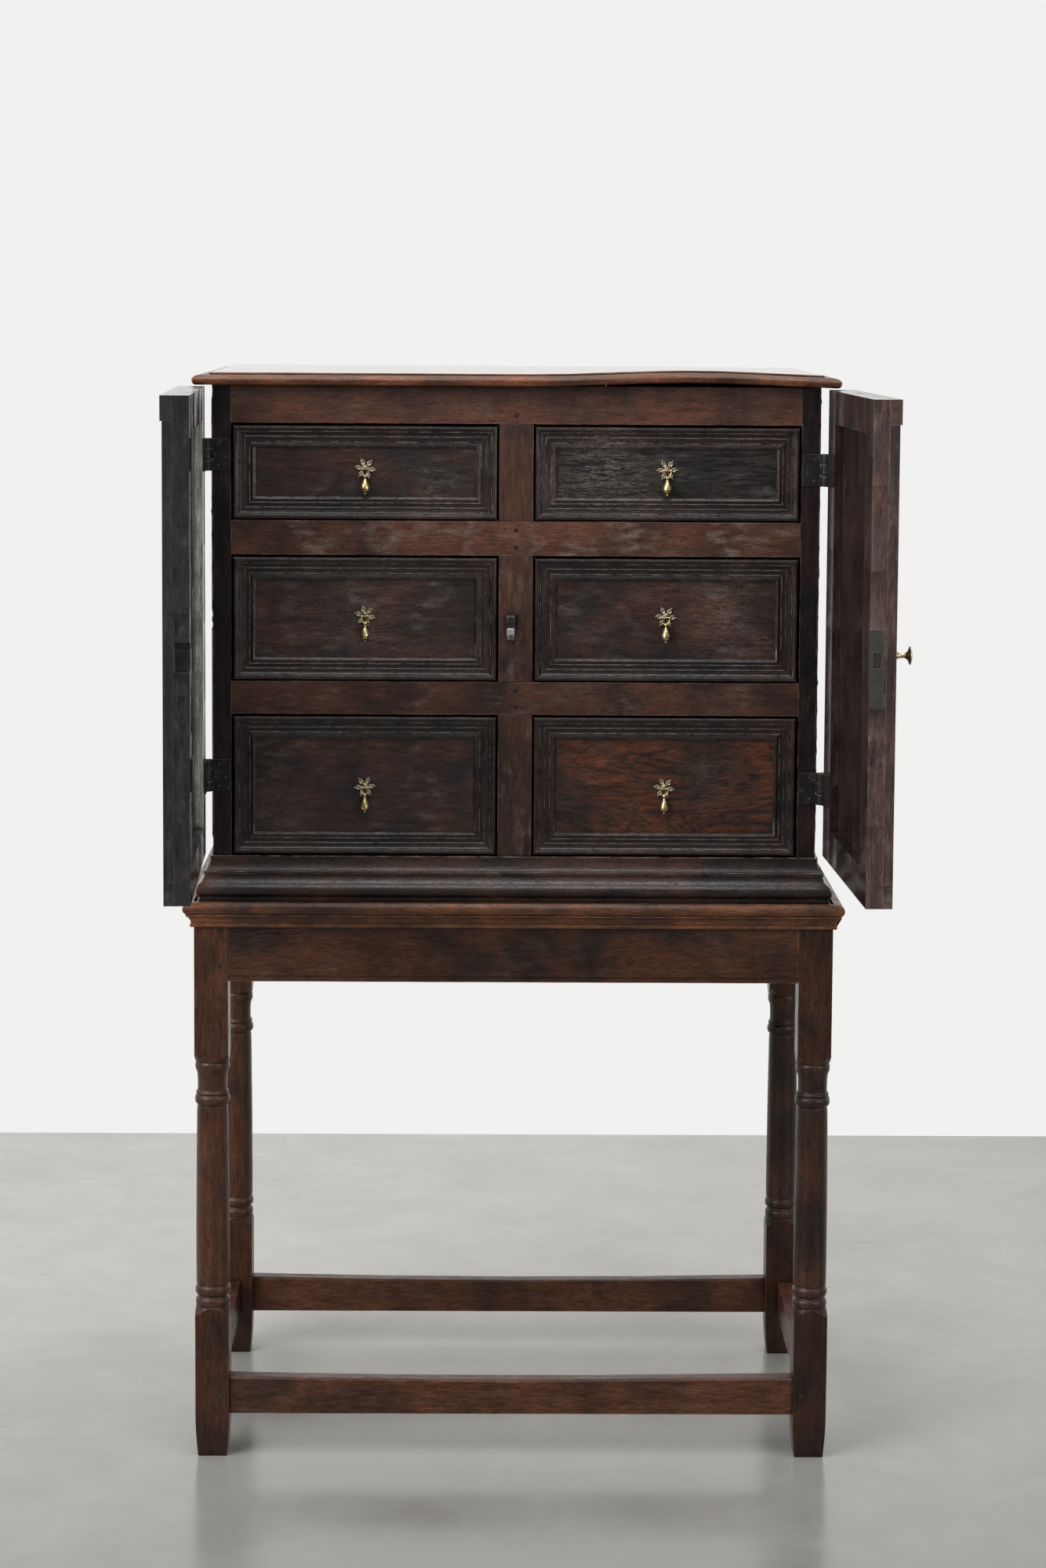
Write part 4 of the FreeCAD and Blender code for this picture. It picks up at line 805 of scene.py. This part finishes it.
def turned_knob(material):
    """The knob: a ringed foot, a waisted stem and a thin flared disc."""
    node = "door_right_knob"
    low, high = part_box(node)
    turn = DOOR_ANGLE["door_right"]
    outward = Vector((math.sin(turn), -math.cos(turn), 0))
    foot = Vector((low.x, (low.y + high.y) / 2, (low.z + high.z) / 2)) - Vector((0, outward.y * KNOB_DISC * MM, 0))
    foot.x += KNOB_FOOT * MM * abs(outward.y)
    knob = lathed(node + "_turned", KNOB_STATIONS, 36)
    lean = Vector((0, 0, 1)).rotation_difference(outward).to_matrix().to_4x4()
    knob.data.transform(Matrix.Translation(foot) @ lean)
    smoothed(knob, 50)
    knob.data.materials.append(material)
    placed_on(knob, node)


# ---------------------------------------------------------- doors and hinges
# The left door as it stands closed, in millimetres; the right one is its mirror image.
HINGE_AXIS = (-397.5, -222.9)
DOOR_LEFT, DOOR_RIGHT, DOOR_BOTTOM, DOOR_TOP = -390.0, -0.5, 799.0, 1402.0
DOOR_INNER, DOOR_OUTER, PANEL_OUTER = -224.8, -244.8, -241.3
FIELD_LEFT, FIELD_BOTTOMS, FIELD_WIDE, FIELD_TALL = -308.0, (863.0, 1111.5), 225.5, 226.5
# The case's front, and the middles of the hinges.
CASE_FACE = -221.0
HINGE_HEIGHTS = {"door_left": (899.5, 1314.5), "door_right": (885.5, 1298.5)}
# Inward and outward: the moulded inner edge of the border, and the panel's moulding.
BORDER_EDGE = ((0, 0), (0, 11.9), (1.0, 11.9), (2.2, 11.2), (3.6, 9.4), (4.6, 8.2), (6.6, 7.6), (9.0, 7.2), (9.0, 0))
PANEL_MOULDING = ((0, 0), (0, 3.3), (1.4, 4.7), (3.2, 5.4), (5.2, 5.4), (6.6, 4.6), (7.6, 3.0), (9.1, 2.2), (13, 1.8),
                  (17.2, 1.7), (18.2, 2.9), (19.7, 3.3), (22.4, 2.4), (25.3, 0.6), (25.3, 0))


def hinge_of(side):
    """Where a door's hinge axis stands, and how far the door is open at rest."""
    pivot = Vector((-side * HINGE_AXIS[0] * MM, HINGE_AXIS[1] * MM, 0))
    return pivot, DOOR_ANGLE["door_right" if side > 0 else "door_left"]


def hung(piece, side, turned=True):
    """Takes a piece of the closed left door to its side, and turns it with its door as it is at rest."""
    if side > 0:
        piece.data.transform(Matrix.Diagonal((-1.0, 1.0, 1.0, 1.0)))
        piece.data.flip_normals()
    if turned:
        pivot, angle = hinge_of(side)
        piece.data.transform(Matrix.Translation(pivot) @ Matrix.Rotation(angle, 4, "Z") @ Matrix.Translation(-pivot))
    return piece


def door_mouldings(side, material, outside):
    """The border of plain boards with a moulded inner edge, and two framed fields on the panel."""
    tone = PLAIN[0]
    head_reach, reach, board_wide, board_high = 14.5, 12.0, 35.0, 30.0
    boards = (
        ((DOOR_LEFT, DOOR_OUTER - head_reach, DOOR_TOP - board_high), (DOOR_RIGHT, DOOR_OUTER, DOOR_TOP)),
        ((DOOR_LEFT, DOOR_OUTER - reach, DOOR_BOTTOM), (DOOR_RIGHT, DOOR_OUTER, DOOR_BOTTOM + board_high)),
        ((DOOR_LEFT, DOOR_OUTER - reach, DOOR_BOTTOM + board_high),
         (DOOR_LEFT + board_wide, DOOR_OUTER, DOOR_TOP - board_high)),
        ((DOOR_RIGHT - board_wide, DOOR_OUTER - reach, DOOR_BOTTOM + board_high),
         (DOOR_RIGHT, DOOR_OUTER, DOOR_TOP - board_high)),
    )
    parts = []
    for low, high in boards:
        board = block(Vector(low) * MM, Vector(high) * MM)
        board.data.materials.append(material)
        board.data.materials.append(outside)
        for face in board.data.polygons:
            face.material_index = 1 if face.normal.y < -0.5 else 0
        parts.append(lay_grain(board, 0.0, (tone,)))
    inner_wide = DOOR_RIGHT - DOOR_LEFT - 2 * board_wide
    inner_tall = DOOR_TOP - DOOR_BOTTOM - 2 * board_high
    frames = [(BORDER_EDGE, DOOR_LEFT + board_wide, DOOR_BOTTOM + board_high, inner_wide, inner_tall, DOOR_OUTER)]
    for bottom in FIELD_BOTTOMS:
        frames.append((PANEL_MOULDING, FIELD_LEFT, bottom, FIELD_WIDE, FIELD_TALL, PANEL_OUTER))
    for profile, left, bottom, wide, tall, face in frames:
        sizes = [value * MM for value in (left, bottom, wide, tall, face)]
        parts.append(moulded_frame(profile, *sizes, outside, tone))
    node = "door_right_mouldings" if side > 0 else "door_left_mouldings"
    whole = hung(joined(node + "_dressed", parts), side)
    eased(whole, 0.5, 2, 35)
    smoothed(whole)
    placed_on(whole, node)


# A face of this area or more is wide. An edge's faces lie this near to its place, in millimetres.
WIDE_FACE = (10 * MM) ** 2
EDGE_REACH = 2.5


def refaced(piece, side, outside, edge=None, across=0.0):
    """Another finish on a door's outer faces, and another on those that look away from the hinge at one place across,
    which on the left door is a painted reflection.
    """
    pivot, angle = hinge_of(side)
    unturn = Matrix.Rotation(-angle, 3, "Z")
    piece.data.materials.append(outside)
    if edge:
        piece.data.materials.append(edge)
    for face in piece.data.polygons:
        # Wide faces are true planes and don't borrow a slope from the edges round them.
        face.use_smooth = face.area < WIDE_FACE
        place = unturn @ (face.center - pivot) + pivot
        outward = unturn @ face.normal
        if outward.y < -0.5:
            face.material_index = 1
        elif edge and outward.x * side < -0.5 and abs(abs(place.x) / MM - across) < EDGE_REACH:
            face.material_index = 2


def hinge_leaf(height, on_door):
    """A left hinge's leaf, hammered round its pin; the door's has the middle knuckle."""
    x, y = HINGE_AXIS
    half, third, play, radius, clear, thick, reach = 21.0, 14.0, 0.25, 7.1, 7.4, 1.6, 29.5
    low, high = height - half, height + half
    joints = (low + third, high - third)
    y_range = (DOOR_INNER, DOOR_INNER + thick) if on_door else (CASE_FACE - thick, CASE_FACE)
    spans = [joints] if on_door else [(low, joints[0]), (joints[1], high)]
    parts = [block(Vector((x + clear, y_range[0], low)) * MM, Vector((x + reach, y_range[1], high)) * MM)]
    for start, end in spans:
        if on_door:
            start, end = start + play, end - play
        tongue = block(Vector((x + 1, y_range[0], start)) * MM, Vector((x + clear + 1, y_range[1], end)) * MM)
        knuckle = lathed("knuckle", ((0, start), (radius - 0.9, start), (radius, start + 1.2),
                                     (radius, (start + end) / 2), (radius, end - 1.2), (radius - 0.9, end),
                                     (0, end)), 24)
        knuckle.data.transform(Matrix.Translation((x * MM, y * MM, 0)))
        parts += [tongue, knuckle]
    leaf = joined("leaf", parts)
    cast(leaf, 0.45, 0.45)
    wandered(leaf, 0.3, chip_marks)
    nail_y = y_range[1] if on_door else y_range[0]
    nails = [ball(1.7, (x + across, nail_y, height + up), (1.0, 0.16, 1.0))
             for across, up in ((15, 14), (24, 3 if on_door else -3), (15, -14))]
    washers = []
    if not on_door:
        for joint, ahead in ((joints[0], 1), (joints[1], -1)):
            washer = lathed("washer", ((0, -1.2), (6.7, -1.2), (6.7, 0.2), (0, 0.2)), 20)
            place = Matrix.Translation((x * MM, y * MM, joint * MM))
            washer.data.transform(place @ Matrix.Diagonal((1, 1, ahead, 1)))
            if ahead < 0:
                washer.data.flip_normals()
            washers.append(washer)
    return joined("leaf", [leaf] + nails + washers)


def catch(material, rubbed, hole):
    """The lug that the bolt enters: rubbed below, with an old hole beside it, a black patch of painted shade, and a
    nail.
    """
    node = "door_catch"
    low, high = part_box(node)
    lug = copied(node)
    eased(lug, 1.5, 3)
    smoothed(lug)
    lug.data.materials.append(material)
    rub = block((low.x + 0.6 * MM, low.y - 0.6 * MM, low.z - 0.4 * MM),
                (high.x - 0.6 * MM, low.y + 6.0 * MM, low.z + 16 * MM))
    eased(rub, 2.4, 4)
    smoothed(rub, 60)
    rub.data.materials.append(rubbed)
    face = CASE_FACE * MM
    left, top = high.x + 0.6 * MM, high.z
    # The old hole is a thin black patch on the face: painted shade, not a hole cut in the wood.
    old_hole = block((left, face - 0.15 * MM, top - 14 * MM), (left + 4.2 * MM, face + 1 * MM, top - 1 * MM))
    nail = ball(1.5, (left / MM - 2.5, CASE_FACE, low.z / MM - 5.5), (1.0, 0.3, 1.0))
    for piece in (old_hole, nail):
        piece.data.materials.append(hole)
    placed_on(joined(node + "_forged", [lug, rub, old_hole, nail]), node)


def hinges(material):
    """Both doors' hinges: their leaves on the doors, and those on the case with their pins."""
    on_case = []
    for side, name in ((-1, "door_left"), (1, "door_right")):
        heights = HINGE_HEIGHTS[name]
        on_door = [hung(hinge_leaf(height, True), side) for height in heights]
        on_case += [hung(hinge_leaf(height, False), side, False) for height in heights]
        leaves = joined(name + "_hinge_leaves_forged", on_door)
        leaves.data.materials.append(material)
        placed_on(leaves, name + "_hinge_leaves")
    leaves = joined("case_hinge_leaves_and_pins_forged", on_case)
    leaves.data.materials.append(material)
    placed_on(leaves, "case_hinge_leaves_and_pins")


# ------------------------------------------------------------------- the wood
# Millimetres across from the middle: the stiles' outer edges, the left door's recess and
# the right door's meeting edge.
STILE_EDGE, RECESS_EDGE, MEETING_EDGE = 388.6, 330.0, 0.5
# Each rail's lightness, warmth and bloom, from the bottom up.
RAIL_TONES = ((1.0, 0.0, 1.0), (0.95, 0.0, 0.9), (1.3, 0.1, 1.3), (1.15, 0.1, 0.4))
DOOR_WEAR = {"wander": 0.05, "step": 100.0}
# What a node's name starts or ends with, and the finish and wear of its worn copy. The first
# that fits holds.
WEAR = (
    ("stand_top_moulding", oak_rim, {"rounding": 0.6}),
    ("stand_rail_front", oak_stand, {"rounding": 0.5, "step": 10.0}),
    ("stand_rail", oak_stand, {"rounding": 0.5}),
    ("stand_stretcher", oak_stand, {"rounding": 0.5, "tones": ((1.22, 0.3, 0.8),)}),
    ("case_rails", oak_case, {"tones": RAIL_TONES}),
    ("case_muntins", oak_case, {"tones": ((0.88, 0.0, 1.0),)}),
    ("case_side", oak_case, {}),
    ("case_stiles", oak_stiles, {"rounding": 1.0, "wander": 0.5, "step": 6.0,
                                 "rough": lambda place: abs(place.x) > STILE_EDGE}),
    ("base_moulding", oak_base, {"rounding": 0.5}),
    ("top_moulding", oak_nosing, {}),
    ("top_boards", oak_top, {}),
    ("case_back_boards", oak_bare, {"wander": 0}),
    ("case_bottom_and_partition", oak_bare, {"wander": 0}),
    ("drawer_runners", oak_bare, {"wander": 0}),
    ("_box", oak_bare, {"wander": 0}),
    ("door_left_frame", oak_doors, {"rounding": 0.6, **DOOR_WEAR}),
    ("door_right_frame", oak_door_right, {"rounding": 0.6, **DOOR_WEAR}),
    ("door_left_panel", oak_doors, {"rounding": 0.4, **DOOR_WEAR}),
    ("door_right_panel", oak_door_right, {"rounding": 0.4, **DOOR_WEAR}),
    ("oak_pegs", oak_peg, {"wander": 0, "rounding": 0.5}),
    ("_lock", lock_iron, {"wander": 0, "rounding": 0.3}),
    ("_bolt", bolt_iron, {"wander": 0, "rounding": 1.2}),
)
made = {}
for name in frame["nodes"]:
    if name in DRAWERS:
        drawer_front(name)
        continue
    for part, finish, wear in WEAR:
        if name.startswith(part) or name.endswith(part):
            made[name] = worn(name, finish, **wear)
            break
blotched(made["stand_rail_front"], ((-352, 717, 46, 1.3), (-312, 707, 46, 1.3), (-335, 712, 40, 1.0)), "split")
# The left door's recess step takes the pale grey of a painted reflection.
refaced(made["door_left_frame"], -1, oak_door_outside, oak_lip_painted_reflection, RECESS_EDGE)
refaced(made["door_right_frame"], 1, oak_door_outside, oak_door_edge, MEETING_EDGE)
refaced(made["door_left_panel"], -1, oak_door_outside)
refaced(made["door_right_panel"], 1, oak_door_outside)
door_mouldings(-1, oak_doors, oak_door_outside)
door_mouldings(1, oak_door_edge, oak_door_outside)
hinges(forged_iron)
catch(catch_iron, rubbed_iron, black_iron_and_hole_shade)
turned_legs(oak_stand)
handle_plates(pale_brass)
handle_drops(cast_brass)
turned_knob(cast_brass)


# ------------------------------------------------------------------ the stage
# The white wall's place behind the cabinet, and how far the stage reaches.
WALL_Y = 1.5
STAGE_REACH = 9.0
WALL_WHITE = "#f1f1f0"


def stage_plane(name, corners, material):
    """A floor or wall, which isn't part of the cabinet."""
    mesh = bpy.data.meshes.new(name)
    mesh.from_pydata(corners, [], [(0, 1, 2, 3)])
    plane = bpy.data.objects.new(name, mesh)
    bpy.context.scene.collection.objects.link(plane)
    mesh.materials.append(material)


def floor_material():
    """Sealed concrete: pale grey, cloudy, with a soft sheen, and painted light that makes it paler towards the wall.
    """
    material, tree = new_material("sealed_concrete")
    place = add(tree, "TexCoord")
    cloud = add(tree, "TexNoise", {"Vector": (place, "Object"), "Scale": 4.5, "Detail": 9.0, "Roughness": 0.66,
                                   "Distortion": 0.3})
    cloud_range = add(tree, "MapRange", {0: cloud, 1: 0.34, 2: 0.66})
    clouded = add(tree, "Mix", {FACTOR: cloud_range, FIRST: linear("#7a7976"), SECOND: linear("#868581")},
                  data_type="RGBA")
    depth = add(tree, "SeparateXYZ", {0: (place, "Object")})
    # Painted light: the floor grows lighter from the front towards the wall, up to nearly twice as light.
    painted_light_near_wall = add(tree, "MapRange", {0: (depth, 1), 1: -0.9, 2: 0.6, 3: 0.82, 4: 1.85})
    colour = add(tree, "Mix", {FACTOR: 1.0, FIRST: (clouded, MIXED), SECOND: painted_light_near_wall}, data_type="RGBA",
                 blend_type="MULTIPLY")
    rough = add(tree, "MapRange", {0: cloud, 1: 0.3, 2: 0.7, 3: 0.14, 4: 0.26})
    surface = add(tree, "BsdfPrincipled", {"Base Color": (colour, MIXED), "Roughness": rough})
    add(tree, "OutputMaterial", {"Surface": surface})
    return material


def wall_material():
    """Matt white paint, seen at its own colour by the eye and in reflections, and clear from behind."""
    material, tree = new_material("white_wall")
    paths = add(tree, "LightPath")
    seen = add(tree, "Math", {0: (paths, "Is Camera Ray"), 1: (paths, "Is Glossy Ray")}, operation="MAXIMUM")
    matt = add(tree, "BsdfDiffuse", {"Color": linear("#e9e9e7")})
    glow = add(tree, "Emission", {"Color": linear(WALL_WHITE), "Strength": 1.0})
    painted = add(tree, "MixShader", {0: seen, 1: matt, 2: glow})
    sides = add(tree, "NewGeometry")
    clear = add(tree, "BsdfTransparent")
    surface = add(tree, "MixShader", {0: (sides, "Backfacing"), 1: painted, 2: clear})
    add(tree, "OutputMaterial", {"Surface": surface})
    return material


stage_plane("floor", [(-STAGE_REACH, -STAGE_REACH, FLOOR_Z), (STAGE_REACH, -STAGE_REACH, FLOOR_Z),
                      (STAGE_REACH, STAGE_REACH, FLOOR_Z), (-STAGE_REACH, STAGE_REACH, FLOOR_Z)], floor_material())
stage_plane("wall", [(-STAGE_REACH, WALL_Y, FLOOR_Z), (STAGE_REACH, WALL_Y, FLOOR_Z),
                     (STAGE_REACH, WALL_Y, STAGE_REACH), (-STAGE_REACH, WALL_Y, STAGE_REACH)], wall_material())


# ----------------------------------------------------------- camera and light
def aimed(place, pitch, yaw, roll):
    """A camera's matrix: pitch down, yaw to the right and roll, in radians."""
    ahead = Vector((math.sin(yaw) * math.cos(pitch), math.cos(yaw) * math.cos(pitch), -math.sin(pitch)))
    right = Vector((math.cos(yaw), -math.sin(yaw), 0))
    up = right.cross(ahead)
    rolled_right = right * math.cos(roll) + up * math.sin(roll)
    rolled_up = up * math.cos(roll) - right * math.sin(roll)
    matrix = Matrix((rolled_right, rolled_up, -ahead)).transposed().to_4x4()
    matrix.translation = place
    return matrix


CAMERA_PLACE = Vector((-0.03791, -4.64979, 1.52538))
CAMERA_PITCH, CAMERA_YAW, CAMERA_ROLL = math.radians(5.56511), math.radians(0.61522), math.radians(0.35969)
camera_data = bpy.data.cameras.new("camera")
camera_data.lens = 79.2
camera_data.sensor_width = 36.0
camera_data.shift_y = -0.10
camera = bpy.data.objects.new("camera", camera_data)
camera.matrix_world = aimed(CAMERA_PLACE, CAMERA_PITCH, CAMERA_YAW, CAMERA_ROLL)
bpy.context.scene.collection.objects.link(camera)
bpy.context.scene.camera = camera


def softbox(name, place, target, width, height, power):
    """A large soft lamp that faces a point."""
    lamp = bpy.data.lights.new(name, "AREA")
    lamp.shape = "RECTANGLE"
    lamp.size = width
    lamp.size_y = height
    lamp.energy = power
    box = bpy.data.objects.new(name, lamp)
    box.location = place
    box.rotation_euler = (Vector(target) - Vector(place)).to_track_quat("-Z", "Y").to_euler()
    bpy.context.scene.collection.objects.link(box)


softbox("key", (-3.0, -2.6, 2.6), (0, 0, 0.8), 2.6, 2.6, 175)
softbox("fill", (3.2, -3.2, 2.0), (0, 0, 0.8), 2.4, 2.4, 60)
softbox("ceiling", (0, -0.8, 3.6), (0, -0.2, 0), 3.0, 3.0, 85)


def room_light():
    """A pale room all round, brighter in what gloss and metal mirror of it, and white to the eye."""
    world = bpy.data.worlds.new("room_light")
    world.use_nodes = True
    tree = world.node_tree
    tree.nodes.clear()
    paths = add(tree, "LightPath")
    dim = add(tree, "Background", {"Color": linear("#f4f4f2"), "Strength": 0.30})
    mirrored = add(tree, "Background", {"Color": linear("#f4f4f2"), "Strength": 0.34})
    both = add(tree, "MixShader", {0: (paths, "Is Glossy Ray"), 1: dim, 2: mirrored})
    seen = add(tree, "Background", {"Color": linear(WALL_WHITE), "Strength": 1.0})
    room = add(tree, "MixShader", {0: (paths, "Is Camera Ray"), 1: both, 2: seen})
    add(tree, "OutputWorld", {"Surface": room})
    bpy.context.scene.world = world


room_light()
bpy.context.scene.view_settings.view_transform = "Standard"
